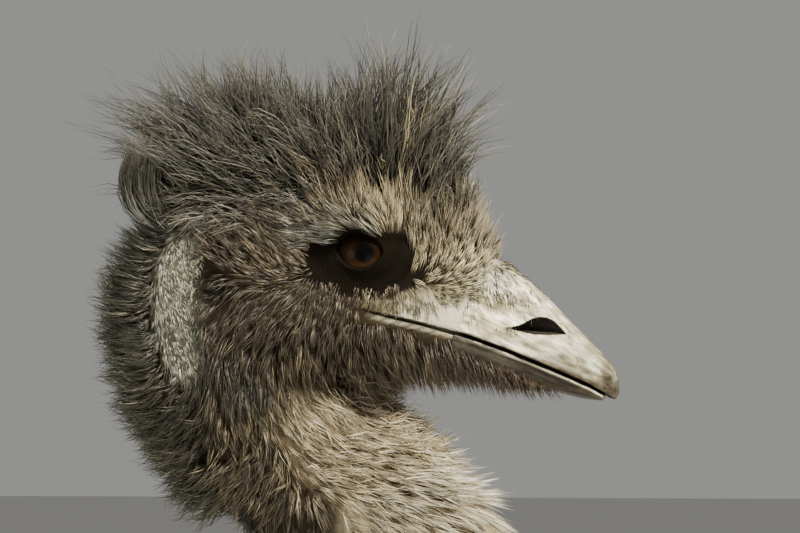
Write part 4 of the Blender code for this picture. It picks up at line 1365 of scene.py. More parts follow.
    def lid_rim(self, side: float) -> Object:
        """The soft rounded rim along the edge of both lids.

        Args:
            side: -1 on the right, 1 on the left.

        Returns:
            The rim.
        """
        along, up = self.opening(0.0002)
        radius = (self.eye_radius + self.lid_radius) / 2 - 0.0002
        depth = np.sqrt(np.maximum(radius**2 - along**2 - up**2, 0.0))
        middle = np.stack([along, side * depth, up], 1)
        outward = unit(middle)
        ahead = unit(np.roll(middle, -1, 0) - np.roll(middle, 1, 0))
        aside = np.cross(ahead, outward)
        rings = []
        for wide, tall in turns(self.rim_sides):
            offset = aside * wide * self.rim + outward * tall * self.rim
            rings.append(np.array(self.eye_centre(side)) + middle + offset)
        grid = np.stack(rings, 1)
        made = mesh_object("rim", grid, ring_faces(*grid.shape[:2], True))
        face_outward(made)
        return made

    def mouth_groove(self, side: float) -> Object:
        """The groove between the jaws on one side, from the corner of the gape to the bill.

        Args:
            side: -1 on the right, 1 on the left.

        Returns:
            The cut.
        """
        rings = []
        for along, up, half in self.mouth:
            width = float(np.interp(along, *self.mouth_widths))
            near, far = (width - 4.5) * MM, 0.05
            middle = HEAD_PLACE + np.array([along * MM, 0.0, up * MM])
            corner = [(far, 1.6), (far, -1.6), (near, -0.6), (near, 0.6)]
            rings.append([middle + np.array([0.0, side * y, z * half * MM]) for y, z in corner])
        return loft("groove", np.array(rings))

    def build(self, coat: CoatMap) -> Object:
        """Makes the skin and colours it like the coat that it carries.

        Args:
            coat: The map of the coat.

        Returns:
            The skin.
        """
        skin = self.head_shell()
        boolean(skin, [self.body_shell()], "UNION")
        boolean(skin, [self.opening_cut(side) for side in SIDES.values()], "DIFFERENCE", "EXACT")
        boolean(skin, [self.lid_rim(side) for side in SIDES.values()], "UNION", "EXACT")
        cuts = []
        for side in SIDES.values():
            cuts.append(ball("socket", self.eye_centre(side), (self.eye_radius,) * 3, 64))
            cuts.append(self.mouth_groove(side))
        boolean(skin, cuts, "DIFFERENCE", "EXACT")
        skin.name = "skin"
        points = corners(skin.data)
        nearest = coat.locate(points)
        paint(skin.data, self.tints(points, coat.colours(points, nearest)[:, :3]))
        skin.data.shade_smooth()
        skin.data.materials.clear()
        skin.data.materials.append(SkinFinish().material())
        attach(skin, BODY)
        flesh = ["head", "neck_upper", "neck_middle", "neck_lower", "torso", "tail"]
        flesh += [f"{part}_{name}" for name in SIDES for part in ("wing", "leg_upper")]
        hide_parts(*flesh)
        return skin

    def tints(self, points: Array, colours: Array) -> Array:
        """The skin's colours, with the dark surround of the eye, and painted shade in the ear's hollow and
        along the line of the mouth.

        Args:
            points: The skin's places.
            colours: Its colours under the coat.

        Returns:
            One colour a row.
        """
        local = from_head(points)
        on_side = np.abs(local[:, 1]) > FACE_SIDE
        surround = 1 - smooth(eye_surround(local), *self.surround_fade)
        # Painted shade: near-black in the hollow of the ear
        ear = bell(local[:, 0], -54, 5) * bell(local[:, 2], -14, 7)
        spots = [
            (np.where(on_side, surround, 0.0), self.surround_colour),
            (np.where(on_side, ear, 0.0), self.ear_shade_colour),
        ]
        gap = local[:, 2] - mouth_height(local[:, 0])
        ahead = smooth(local[:, 0], 6, 16) * (local[:, 0] < 60)
        near = np.where(on_side, ahead, 0.0)
        strip = 3.0 + 0.36 * np.clip(local[:, 0] - 8, 0, 60)
        pale = (gap > 0) * (1 - smooth(gap, strip * 0.6, strip * 1.1)) * smooth(local[:, 0], 8, 20)
        spots.append((near * pale, self.strip_colour))
        spots.append((near * smooth(-gap, 2.4, 3.4), self.jaw_colour))
        spots.append((near * bell(gap, -1.8, 0.65), self.lip_colour))
        # Painted shadow: a near-black line along the crease between the jaws
        spots.append((near * bell(gap, 0.0, 1.0), self.gape_shadow_colour))
        return lay(colours, spots)


class Ground:
    """A surface that hairs are rooted in."""

    def __init__(self, made: Object) -> None:
        """Measures the surface of a mesh.

        Args:
            made: The mesh object.
        """
        mesh = made.data
        mesh.calc_loop_triangles()
        corner = np.empty(len(mesh.loop_triangles) * 3, np.int32)
        mesh.loop_triangles.foreach_get("vertices", corner)
        self.triangles = corner.reshape(-1, 3)
        self.points = corners(mesh)
        self.normals = corners(mesh, "normal")
        a, b, c = (self.points[self.triangles[:, k]] for k in range(3))
        self.areas = np.linalg.norm(np.cross(b - a, c - a), axis=1) / 2
        self.middles = (a + b + c) / 3
        self.tree = BVHTree.FromPolygons(self.points.tolist(), self.triangles.tolist())

    def sample(self, weights: Array, count: int, random: np.random.Generator) -> tuple:
        """Random places on the surface.

        Args:
            weights: How densely each triangle is covered.
            count: How many places.
            random: The source of chance.

        Returns:
            Points and normals.
        """
        share = self.areas * weights
        picked = random.choice(len(share), count, p=share / share.sum())
        u, v = random.random((2, count, 1))
        flip = u + v > 1
        u, v = np.where(flip, 1 - u, u), np.where(flip, 1 - v, v)
        a, b, c = (self.triangles[picked, k] for k in range(3))
        points = self.points[a] * (1 - u - v) + self.points[b] * u + self.points[c] * v
        normals = self.normals[a] * (1 - u - v) + self.normals[b] * u + self.normals[c] * v
        return points, unit(normals)

    def lift(self, points: Array, least: Array) -> Array:
        """Pushes points out until they are at least so far off the surface.

        Args:
            points: Places in the frame.
            least: How far off the surface each has to be.

        Returns:
            The moved points.
        """
        found, normals = np.empty(points.shape), np.empty(points.shape)
        for i, point in enumerate(points.tolist()):
            found[i], normals[i], _, _ = self.tree.find_nearest(point)
        height = ((points - found) * normals).sum(1)
        return points + normals * np.maximum(least - height, 0.0)[:, None]


@dataclass(frozen=True)
class Cut:
    """How the tufts of one stretch of the coat are cut.

    The spread is half a tuft's width at its root, and clump the share of it left at the tip.
    Where the hairs are scaled, width and spread are those of a tuft 60 mm long. wild is how far
    hairs stray from their tuft, and curl how unevenly tufts bend. droop is how far the tips turn
    to hang, kink how far each joint of a hair strays, and shortest a tuft's shortest reach.
    """

    tufts: int
    hairs: int
    joints: int
    width: float
    spread: float
    clump: float
    wild: float
    curl: float
    scaled: bool = False
    droop: float = 0.0
    kink: float = 0.0
    shortest: float = 0.62


@dataclass
class Coat:
    """Tufts of solid hairs and loose feathers, grown on the skin.

    Hairs stay inside widest and rearmost. rise is how steeply they leave the skin, and stray how
    far beside a tuft its colour may come from. Tufts longer than long_from belong to the crest.
    The lock behind the head grows between the bounds of lock_roots (along, aside and up) and
    along lock_path (along and up). Both are in millimetres, like the pale patch on the neck.
    """

    skin: Object
    map: CoatMap
    face_cut: Cut = Cut(11500, 4, 2, 0.00042, 0.0011, 0.75, 0.22, 0.10)
    crest_cut: Cut = Cut(1250, 8, 6, 0.00062, 0.0042, 1.00, 0.35, 0.50, kink=0.0010, shortest=0.74)
    lock_cut: Cut = Cut(150, 8, 6, 0.00050, 0.0016, 0.80, 0.10, 0.0, kink=0.0002, shortest=0.80)
    neck_cut: Cut = Cut(1950, 9, 3, 0.00100, 0.0058, 0.55, 0.25, 0.15, True, 0.12)
    body_cut: Cut = Cut(1500, 12, 3, 0.00095, 0.0058, 0.45, 0.22, 0.10, True, 0.20)
    limbs_cut: Cut = Cut(640, 11, 3, 0.00095, 0.0060, 0.45, 0.22, 0.10, True, 0.20)
    cere_bristles: int = 1900
    chin_bristles: int = 1300
    lock_roots: tuple = ((-73.0, -66.0), (2.0, 19.0), (5.0, 13.0))
    lock_path: tuple = ((0, 0), (-8, 2.5), (-15, 6), (-20, 13), (-22, 21), (-20, 30), (-14, 40))
    most_triangles: int = 190000
    scaled_length: float = 0.060
    long_from: float = 0.0215
    rise: float = math.radians(14)
    widest: float = 0.218
    rearmost: float = -0.440
    stray: float = 0.0020
    root_depth: float = 0.0006
    gape_reach: float = 14.0
    socket_radius: float = 0.0164
    bare_surround: float = 0.80
    patch_middle: tuple = (-69, -13)
    patch_half: tuple = (13, 36)
    wing_weight: float = 2.2
    eye_weight: float = 1.8
    patch_weight: float = 2.2
    # Mean and scatter of the brightness of each tuft and each hair, as logarithms
    tuft_tone: tuple = (-0.04, 0.32)
    hair_tone: tuple = (-0.12, 0.50)
    uv_patch: float = 0.003
    seed: int = 2026

    def __post_init__(self) -> None:
        """Measures the skin that the coat grows on."""
        self.random = np.random.default_rng(self.seed)
        self.ground = Ground(self.skin)
        middles = self.ground.middles
        nearest = self.map.locate(middles)
        kind = self.map.kind(nearest)
        near = self.map.near_head(middles)
        neck = ((kind == "neck") | (kind == "head")) & (near < 1)
        self.zone = np.where(neck, "neck", np.where(kind == "torso", "body", "limbs"))
        self.zone = np.where(near >= 1, "head", self.zone)
        length = self.map.lies(middles, np.tile((0.0, 0.0, 1.0), (len(middles), 1)), nearest)[1][:, 1]
        self.weight = np.where(self.zone == "head", 1.0, (self.scaled_length / length) ** 1.3)
        self.weight = np.where(kind == "wing", self.weight * self.wing_weight, self.weight)
        by_eye = (self.zone == "head") & (eye_surround(from_head(middles)) < 1.8)
        self.weight = np.where(by_eye, self.weight * self.eye_weight, self.weight)
        from_patch = np.abs(from_head(middles)[:, [0, 2]] - self.patch_middle) / self.patch_half
        on_patch = (from_patch.max(1) < 1) & (np.abs(middles[:, 1]) > 0.012)
        self.weight = np.where(on_patch, self.weight * self.patch_weight, self.weight)
        self.material = PlumeFinish().material()

    def bare(self, points: Array) -> Array:
        """True where no hair grows: the eye's surround, its sockets and the lips.

        Args:
            points: Places on the skin.

        Returns:
            One truth value a place.
        """
        local = from_head(points)
        on_side = np.abs(local[:, 1]) > FACE_SIDE
        socket = from_eye(points) < self.socket_radius
        eye = (eye_surround(local) < self.bare_surround) & on_side
        gap = local[:, 2] - mouth_height(local[:, 0])
        strip = 1.0 + 0.62 * np.clip(local[:, 0] - 24, 0, 60)
        lips = (local[:, 0] > 5) & (local[:, 0] < 60) & (gap > -2.6) & (gap < strip)
        return eye | lips | socket

    def curves(
        self, points: Array, normals: Array, aims: Array, length: Array, curl: Array, lift: Array, cut: Cut
    ) -> Array:
        """Grows the middle line of each tuft out over the skin.

        Args:
            points: Roots.
            normals: The skin's normals there.
            aims: Directions at the root.
            length: Length of each tuft.
            curl: How far each turns in the bird's middle plane, in radians.
            lift: How far the tip is kept off the skin.
            cut: How the tufts are cut.

        Returns:
            Points as tufts by joints + 1 by 3.
        """
        line = [points - normals * self.root_depth]
        way = aims.copy()
        turn = curl / cut.joints
        for k in range(cut.joints):
            share = (k + 1) / cut.joints
            spot = line[-1] + way * (length / cut.joints)[:, None]
            if cut.joints > 2:
                spot = self.ground.lift(spot, lift * share)
                way = unit(spot - line[-1])
            line.append(spot)
            cos, sin = np.cos(turn), np.sin(turn)
            ahead, up = way[:, 0] * cos - way[:, 2] * sin, way[:, 0] * sin + way[:, 2] * cos
            way = np.stack([ahead, way[:, 1], up], 1)
            way = unit(way * (1 - cut.droop * share) + np.array([0.0, 0.0, -1.0]) * cut.droop * share)
        return np.stack(line, 1)

    def grow(self, zone: str, cut: Cut, longer: bool | None = None) -> dict:
        """Grows the tufts of one zone.

        Args:
            zone: The zone of the skin.
            cut: How the tufts are cut.
            longer: Keeps only long tufts if True, and only short ones if False.

        Returns:
            The hairs' lines, widths, root and tip colours and places on the map.
        """
        tries = {None: 1.6, True: 10, False: 3}[longer]
        weights = np.where(self.zone == zone, self.weight, 0.0)
        points, normals = self.ground.sample(weights, int(cut.tufts * tries), self.random)
        nearest = self.map.locate(points)
        aims, values = self.map.lies(points, normals, nearest)
        keep = self.random.random(len(points)) * 1.5 < values[:, 3]
        if longer is not None:
            keep &= (values[:, 1] > self.long_from) == longer
            keep &= ~self.bare(points)
        chosen = np.nonzero(keep)[0][: cut.tufts]
        points, normals, nearest = points[chosen], normals[chosen], nearest[chosen]
        aims, values = aims[chosen], values[chosen]
        count = len(points)
        mess = np.radians(values[:, 4])[:, None]
        aims = unit(aims + self.random.normal(size=(count, 3)) * mess * 0.75)
        if zone != "head":
            flat = unit(aims - normals * (aims * normals).sum(1)[:, None])
            aims = flat * math.cos(self.rise) + normals * math.sin(self.rise)
        else:
            aims = lean_out(aims, normals, 0.12)
        shortest, longest = (0.85, 1.10) if longer else (0.72, 1.15)
        length = values[:, 1] * self.random.uniform(shortest, longest, count)
        room = np.maximum(points[:, 0] - self.rearmost, 0.02)
        length = np.minimum(length, room / np.maximum(-aims[:, 0], 0.05))
        # The hairs over the gape stop short of the line between the jaws
        local = from_head(points)
        gap = local[:, 2] - mouth_height(local[:, 0])
        over = (gap > 0) & (gap < self.gape_reach) & (local[:, 0] > 2) & (aims[:, 2] < 0)
        over &= zone == "head"
        short = np.minimum(length, (gap + 0.3) * MM / np.maximum(-aims[:, 2], 0.2))
        length = np.where(over, short, length)
        lift = np.minimum(length * 0.14, 0.013)
        curl = values[:, 2] + self.random.normal(0, cut.curl, count)
        line = self.curves(points, normals, aims, length, curl, lift, cut)
        line[..., 1] = np.clip(line[..., 1], -self.widest, self.widest)
        strayed = points + self.random.normal(size=points.shape) * self.stray
        colours = self.map.colours(strayed, nearest)[:, 3:]
        # The long hairs beside the pale patch keep the dark tips of the nape
        beside = (local[:, 0] < -56) & (local[:, 2] < 24) & (local[:, 2] > -75)
        dark = np.where(beside, smooth(length, 0.0065, 0.0095), 0.0)[:, None]
        colours[:, 3:] = mix(colours[:, 3:], np.array(P.SOOT.value.tip), dark)
        bright = np.exp(self.random.normal(*self.tuft_tone, (count, 1)))
        uv = self.map.chart(points, nearest)
        size = length / self.scaled_length if cut.scaled else np.ones(count)
        return self.fan(line, normals, colours * bright, uv, size, cut)

    def fan(self, line: Array, normals: Array, colours: Array, uv: Array, size: Array, cut: Cut) -> dict:
        """Fans each tuft out into its hairs.

        Args:
            line: The tufts' middle lines.
            normals: The skin's normals at their roots.
            colours: Root and tip colours, six numbers a tuft.
            uv: The tufts' places on the unwrap.
            size: How much wider than the cut each tuft is.
            cut: How the tufts are cut.

        Returns:
            The hairs' lines, widths, root and tip colours and places on the map.
        """
        count, steps = line.shape[:2]
        hairs = cut.hairs
        ahead = unit(np.gradient(line, axis=1))
        across = unit(np.cross(ahead, normals[:, None]))
        over = np.cross(across, ahead)
        share = np.linspace(0, 1, steps)
        open_by = cut.spread * ((1 - share) * 0.6 + share * cut.clump + 4 * share * (1 - share) * 0.55)
        aside = self.random.uniform(-1, 1, (count, hairs, 1, 1))
        above = self.random.uniform(-0.45, 0.45, (count, hairs, 1, 1))
        reach = self.random.uniform(cut.shortest, 1.0, (count, hairs, 1))
        where = reach * share * (steps - 1)
        low = np.minimum(where.astype(int), steps - 2)
        part = (where - low)[..., None]
        row = np.arange(count)[:, None, None]
        middle = mix(line[row, low], line[row, low + 1], part)
        side_way = across[row, low]
        over_way = over[row, low]
        wide = open_by[None, None, :, None] * size[:, None, None, None]
        outer = share[None, None, :, None]
        points = middle + side_way * aside * wide + over_way * np.abs(above) * wide * outer
        jitter = self.random.normal(size=(count, hairs, 1, 3)) * cut.spread * cut.wild
        points = points + jitter * size[:, None, None, None] * outer**1.5
        if cut.kink:
            kinks = self.random.normal(size=(count, hairs, steps, 3)) * cut.kink
            points = points + kinks * outer**0.5
        tone = np.exp(self.random.normal(*self.hair_tone, (count, hairs, 1)))
        width = cut.width * size[:, None] * self.random.uniform(0.7, 1.25, (count, hairs))
        return {
            "points": points.reshape(-1, steps, 3),
            "width": width.reshape(-1),
            "root": (colours[:, None, :3] * tone).reshape(-1, 3),
            "tip": (colours[:, None, 3:] * tone).reshape(-1, 3),
            "uv": np.repeat(uv, hairs, 0),
        }

    def piece(self, name: str, hairs: dict) -> None:
        """Makes hairs into solid three-sided spikes, in as many pieces as their number needs.

        Args:
            name: The piece's name after coat_.
            hairs: The hairs, as fan gives them.
        """
        steps = hairs["points"].shape[1]
        each = 6 * (steps - 2) + 4
        most = self.most_triangles // each
        total = len(hairs["points"])
        parts = max(1, math.ceil(total / most))
        order = np.argsort(hairs["points"][:, 0, 1], kind="stable")
        for number, chosen in enumerate(np.array_split(order, parts)):
            label = f"coat_{name}_{number + 1}" if parts > 1 else f"coat_{name}"
            made = self.spikes(label, {key: value[chosen] for key, value in hairs.items()})
            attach(made, BODY)
            log.info("%s: %d hairs, %d triangles", label, len(chosen), len(chosen) * each)

    def spikes(self, name: str, hairs: dict) -> Object:
        """One mesh of solid spikes.

        Args:
            name: The piece's name.
            hairs: Lines, widths, colours and map places of its hairs.

        Returns:
            The mesh object, with its colours and its OFBake map.
        """
        line = hairs["points"]
        count, steps = line.shape[:2]
        ahead = unit(np.gradient(line, axis=1))
        lead = np.where(np.abs(ahead[:, :1, 2:3]) > 0.9, np.array([1.0, 0.2, 0.0]), np.array([0.0, 0.2, 1.0]))
        across = unit(np.cross(ahead, lead))
        over = np.cross(across, ahead)
        share = np.linspace(0, 1, steps)
        taper = (0.55 + 1.6 * share * (1 - share)) * (1 - share**3)
        radius = hairs["width"][:, None] / 2 * taper[None]
        ring = []
        for wide, tall in turns(3, 0.5):
            offset = across * wide + over * tall
            ring.append(line + offset * radius[..., None])
        rings = np.stack(ring, 2)[:, :-1]
        points = np.concatenate([rings.reshape(count, -1, 3), line[:, -1:]], 1)
        per = points.shape[1]
        end = (steps - 2) * 3
        tips = [(end + k, end + (k + 1) % 3, per - 1) for k in range(3)]
        faces = [*ring_faces(steps - 1, 3, False), *tips, (2, 1, 0)]
        sizes = np.array([len(face) for face in faces])
        flat = np.array([corner for face in faces for corner in face])
        loops = (flat[None] + np.arange(count)[:, None] * per).ravel()
        starts = np.concatenate([[0], np.cumsum(np.tile(sizes, count))[:-1]])
        mesh = bpy.data.meshes.new(name)
        mesh.vertices.add(count * per)
        mesh.vertices.foreach_set("co", points.astype(np.float32).ravel())
        mesh.loops.add(len(loops))
        mesh.loops.foreach_set("vertex_index", loops.astype(np.int32))
        mesh.polygons.add(len(starts))
        mesh.polygons.foreach_set("loop_start", starts.astype(np.int32))
        mesh.update(calc_edges=True)
        mesh.shade_smooth()
        level = np.concatenate([np.repeat(share[:-1], 3), [1.0]])
        fade = (level**1.3)[None, :, None]
        paint(mesh, mix(hairs["root"][:, None], hairs["tip"][:, None], fade).reshape(-1, 3))
        turn = np.concatenate([np.tile([0.0, 0.5, 1.0], steps - 1), [0.5]])
        patch = np.stack([turn, level], 1) * self.uv_patch
        places = (hairs["uv"][:, None] + patch[None])[:, flat].reshape(-1, 2)
        layer = mesh.uv_layers.new(name="OFBake")
        layer.uv.foreach_set("vector", places.astype(np.float32).ravel())
        mesh.materials.append(self.material)
        return in_scene(name, mesh)

    def bristles(self, ground: Ground, upper: bool, count: int) -> dict:
        """Short stiff hairs that run on from the face over the bill's root.

        Args:
            ground: The surface of one jaw's horn.
            upper: True for the upper jaw, False for the chin.
            count: How many are tried.

        Returns:
            The hairs, as fan gives them.
        """
        local = from_head(ground.middles)
        gap = local[:, 2] - np.interp(local[:, 0], *HEAD_LINE)
        if upper:
            edge = local[:, 0] - 0.30 * (gap - 14)
            weight = (1 - smooth(edge, 50, 72)) * smooth(gap, 8, 13) * (local[:, 0] > 43)
        else:
            weight = (1 - smooth(local[:, 0], 58, 84)) * smooth(-gap, 4.5, 7.5)
        points, normals = ground.sample(weight, count, self.random)
        aims = np.array([0.12, 0.0, -1.0]) if upper else np.array([0.38, 0.0, -1.0])
        aims = unit(aims + self.random.normal(size=(count, 3)) * 0.14)
        aims = lean_out(aims, normals, 0.10)
        along = (points[:, 0] - HEAD_PLACE[0]) / MM
        most = 0.0085 if upper else np.interp(along, [50, 66, 82], [0.015, 0.011, 0.006])
        length = self.random.uniform(0.5, 1.0, count) * most
        cut = Cut(count, 1, 2, 0.00042, 0.0004, 1.0, 0.5, 0.1)
        line = self.curves(points, normals, aims, length, np.full(count, 0.15), length, cut)
        shade = (P.BARE if upper else P.JAW).value
        colours = np.tile((*shade.root, *shade.tip), (count, 1))
        uv = self.map.chart(points, self.map.locate(points))
        return self.fan(line, normals, colours, uv, np.ones(count), cut)

    def lock(self) -> dict:
        """The glossy lock that curls up behind the head, under the back of the crest.

        Returns:
            The hairs, as fan gives them.
        """
        count = self.lock_cut.tufts
        low, high = np.array(self.lock_roots).T
        local = self.random.uniform(low, high, (count, 3))
        local[:, 1] *= np.where(self.random.random(count) < 0.5, -1.0, 1.0)
        found = [self.ground.tree.find_nearest(spot)[:2] for spot in (HEAD_PLACE + local * MM).tolist()]
        roots, normals = (np.array([pair[k] for pair in found]) for k in (0, 1))
        path = np.array(self.lock_path) * MM
        steps = np.stack([path[:, 0], path[:, 0] * 0, path[:, 1]], 1)
        along = self.random.uniform(0.45, 1.0, count)
        scale = np.stack([along, np.ones(count), self.random.uniform(0.8, 1.05, count)], 1)
        line = (roots - normals * self.root_depth)[:, None] + steps[None] * scale[:, None]
        colours = np.tile((*P.SOOT.value.root, *P.SOOT.value.tip), (count, 1))
        uv = self.map.chart(roots, self.map.locate(roots))
        return self.fan(line, normals, colours, uv, np.ones(count), self.lock_cut)

    def build(self, jaws: tuple) -> None:
        """Grows the whole coat, and the bristles at the root of both jaws.

        Args:
            jaws: The upper and the lower jaw's horn.
        """
        self.piece("cere", self.bristles(Ground(jaws[0]), True, self.cere_bristles))
        self.piece("chin", self.bristles(Ground(jaws[1]), False, self.chin_bristles))
        self.piece("face", self.grow("head", self.face_cut, False))
        self.piece("crest", self.grow("head", self.crest_cut, True))
        self.piece("lock", self.lock())
        for zone, cut in (("neck", self.neck_cut), ("body", self.body_cut), ("limbs", self.limbs_cut)):
            self.piece(zone, self.grow(zone, cut))


@dataclass
class Bill:
    """The horn of both jaws, with the nostrils, the nail and the edge of the gape.

    start and the two ends are stations of the head. The powers say how boxy each jaw's section
    is, and the dips how deep the furrow is on the side that faces the other jaw.
    """

    start: float = 7.86
    upper_end: float = 15.0
    lower_end: float = 14.0
    upper_gap: float = 0.0005
    lower_gap: float = 0.0011
    side_power: float = 0.92
    upper_power: float = 1.12
    lower_power: float = 0.80
    upper_dip: float = 2.3 * MM
    lower_dip: float = 1.2 * MM
    rings: int = 120
    outer_sides: int = 68
    inner_sides: int = 18
    cream: Array = held(0.86, 0.81, 0.60)
    slate: Array = held(0.21, 0.20, 0.15)
    olive: Array = held(0.32, 0.30, 0.195)
    dusk: Array = held(0.046, 0.037, 0.021)
    skin: Array = held(0.20, 0.115, 0.055)
    # inside is painted shade: near-black on the faces of both jaws that face into the mouth
    inside: Array = held(0.012, 0.009, 0.007)
    nostril_shade_colour: tuple = (0.014, 0.008, 0.004, 1)
    # The nostril's outline as (along, up) in millimetres: arched above, drawn out to the rear
    nostril_outline: tuple = (
        (61.8, -29.8), (64.0, -29.4), (66.6, -28.6), (68.8, -27.2), (70.8, -26.0), (73.2, -25.3),
        (76.0, -25.2), (79.0, -26.0), (81.6, -27.6), (84.2, -29.9), (87.0, -33.2), (82.6, -32.9),
        (77.6, -32.9), (72.6, -32.6), (68.6, -31.8), (64.8, -30.8),
    )
    nostril_middle: tuple = (74.0, -29.2)
    # How far aside each ring of the cut is, and its share of the outline's size
    nostril_depths: tuple = ((0.030, 1.04), (0.0118, 1.0), (0.0075, 0.90), (0.0035, 0.62))

    def half(self, name: str, end: float, upper: bool) -> Object:
        """One jaw as a closed loft, arched outside and ridged towards the mouth.

        Args:
            name: The piece's name.
            end: Its last place, in stations of the head.
            upper: True for the upper jaw.

        Returns:
            The mesh object.
        """
        places = np.linspace(self.start, end, self.rings)
        here = HEAD.at(places)
        _, across, back = HEAD.frames(places)
        sign = 1.0 if upper else -1.0
        reach = here[:, 4] if upper else here[:, 5]
        width = here[:, 3] * (1.0 if upper else np.interp(places, [8.2, 10.5], [1.0, 0.93]))
        gap = np.full(self.rings, self.upper_gap if upper else self.lower_gap)
        angle = np.linspace(0, math.pi, self.outer_sides)
        level = np.sign(np.cos(angle)) * np.abs(np.cos(angle)) ** self.side_power
        lift = np.sin(angle) ** (self.upper_power if upper else self.lower_power)
        body = np.maximum(reach - gap, 0.0004)[:, None]
        shell = [level * width[:, None], gap[:, None] + body * lift]
        run = np.linspace(-1, 1, self.inner_sides + 2)[1:-1]
        dip = 0.9 * MM * (1 - run**4) - (self.upper_dip if upper else self.lower_dip) * bell(run, 0.0, 0.5)
        under = [0.93 * run[None] * width[:, None], gap[:, None] + dip[None] * np.minimum(1, body / 0.006)]
        aside = np.concatenate([shell[0], under[0]], 1)
        rise = np.concatenate([shell[1], under[1]], 1)
        points = here[:, None, :3] + across[:, None] * aside[..., None]
        return loft(name, points + back[:, None] * (sign * rise)[..., None])

    def local(self, made: Object) -> tuple[Array, Array]:
        """Places in millimetres from the head's place, and how far each is above the gape."""
        local = from_head(corners(made.data))
        return local, local[:, 2] - np.interp(local[:, 0], *HEAD_LINE)

    def shape_upper(self, made: Object) -> None:
        """Presses in the hollow round the nostril and lifts the rim, the ridge and the nail.

        Args:
            made: The upper jaw.
        """
        points, normals = corners(made.data), corners(made.data, "normal")
        local, gap = self.local(made)
        along = local[:, 0]
        side = smooth(np.abs(local[:, 1]), 2.5, 6.5)
        ridge_fall = local[:, 2] + 0.36 * (along - 72)
        hollow = -2.2 * bell(along, 70, 19) * bell(ridge_fall, -27.5, 5.5)
        fold = 1.5 * bell(along, 60.5, 4.0) * bell(local[:, 2], -29.8, 2.6)
        rim = 0.50 * bell(gap, 1.7, 1.2) - 0.45 * bell(gap, 4.6, 1.3) * smooth(along, 58, 72)
        groove = -0.35 * bell(along + 0.35 * gap, 92.5, 1.3) * smooth(gap, 1.0, 3.0)
        rise = (hollow + fold + groove) * side + rim * side
        move_corners(made.data, points + normals * (np.where(gap > 0.35, rise, 0.0) * MM)[:, None])

    def shape_lower(self, made: Object) -> None:
        """Presses a long groove into each side under the rim of the lower jaw.

        Args:
            made: The lower jaw.
        """
        points, normals = corners(made.data), corners(made.data, "normal")
        local, gap = self.local(made)
        side = smooth(np.abs(local[:, 1]), 2.0, 5.0)
        rise = 0.30 * bell(gap, -2.0, 0.8) - 0.45 * bell(gap, -4.0, 1.1)
        move_corners(made.data, points + normals * (np.where(gap < -1.2, rise * side, 0.0) * MM)[:, None])

    def nostril(self, side: float, dark: Material) -> Object:
        """The cut of one nostril, narrower inwards.

        Args:
            side: -1 on the right, 1 on the left.
            dark: The material of the hollow, near-black as painted shade.

        Returns:
            The cut.
        """
        rings = []
        for depth, shrink in self.nostril_depths:
            ring = []
            for along, up in self.nostril_outline:
                x = self.nostril_middle[0] + (along - self.nostril_middle[0]) * shrink
                z = self.nostril_middle[1] + (up - self.nostril_middle[1]) * shrink
                ring.append(HEAD_PLACE + np.array([x * MM, side * depth, z * MM]))
            rings.append(ring)
        made = loft("nostril", np.array(rings))
        made.data.materials.append(dark)
        return made

    def tint_upper(self, made: Object) -> None:
        """Cream horn, slate along the ridge's root, olive and dusky towards the nail, and painted shade on
        the faces towards the lower jaw.

        Args:
            made: The upper jaw.
        """
        local, gap = self.local(made)
        along = local[:, 0]
        layers = [
            (0.60 * smooth(along, 58, 92), self.olive),
            (0.65 * smooth(gap, 13, 24) * (1 - smooth(along, 56, 72)), self.slate),
            (0.85 * (1 - smooth(gap, 2.2, 9.5)) * smooth(along, 56, 84), self.dusk * 3),
            (0.70 * smooth(along + 0.22 * gap, 99, 102.5), self.dusk * 2),
            (0.60 * smooth(along, 95, 100) * (1 - smooth(gap, 7, 11)), self.dusk),
            # Painted shade on the faces towards the lower jaw
            ((gap < 0.45) * 1.0, self.inside),
        ]
        paint(made.data, lay(self.cream, layers))

    def tint_lower(self, made: Object) -> None:
        """A pale edge, partly painted highlight, over dusky horn, with brown skin between the jaws' branches,
        and painted shade on the faces towards the upper jaw.

        Args:
            made: The lower jaw.
        """
        local, gap = self.local(made)
        layers = [
            # The pale cream edge is partly the horn's own colour and partly a painted highlight along the top
            # of the jaw
            (0.8 * bell(gap, -1.6, 0.5), self.cream),
            (smooth(-gap, 7.5, 10.5) * (1 - smooth(local[:, 0], 80, 96)), self.skin),
            # Painted shade on the faces towards the upper jaw
            ((gap > -1.15) * 1.0, self.inside),
        ]
        paint(made.data, lay(self.dusk, layers))

    def build(self) -> tuple:
        """Makes and dresses both jaws.

        Returns:
            The upper and the lower jaw.
        """
        horn = HornFinish().material()
        # The nostril's hollow is painted near-black: painted shade
        book = Shader("nostril", 0.75)
        book.principled.inputs["Base Color"].default_value = self.nostril_shade_colour
        upper = self.half("bill_horn_upper", self.upper_end, True)
        self.shape_upper(upper)
        upper.data.materials.append(horn)
        cuts = [self.nostril(side, book.material) for side in SIDES.values()]
        boolean(upper, cuts, "DIFFERENCE", "EXACT")
        self.tint_upper(upper)
        lower = self.half("bill_horn_lower", self.lower_end, False)
        self.shape_lower(lower)
        lower.data.materials.append(horn)
        self.tint_lower(lower)
        for made, node in ((upper, "bill_upper"), (lower, "bill_lower")):
            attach(made, BODY)
            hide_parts(node)
            report(made)
        return upper, lower


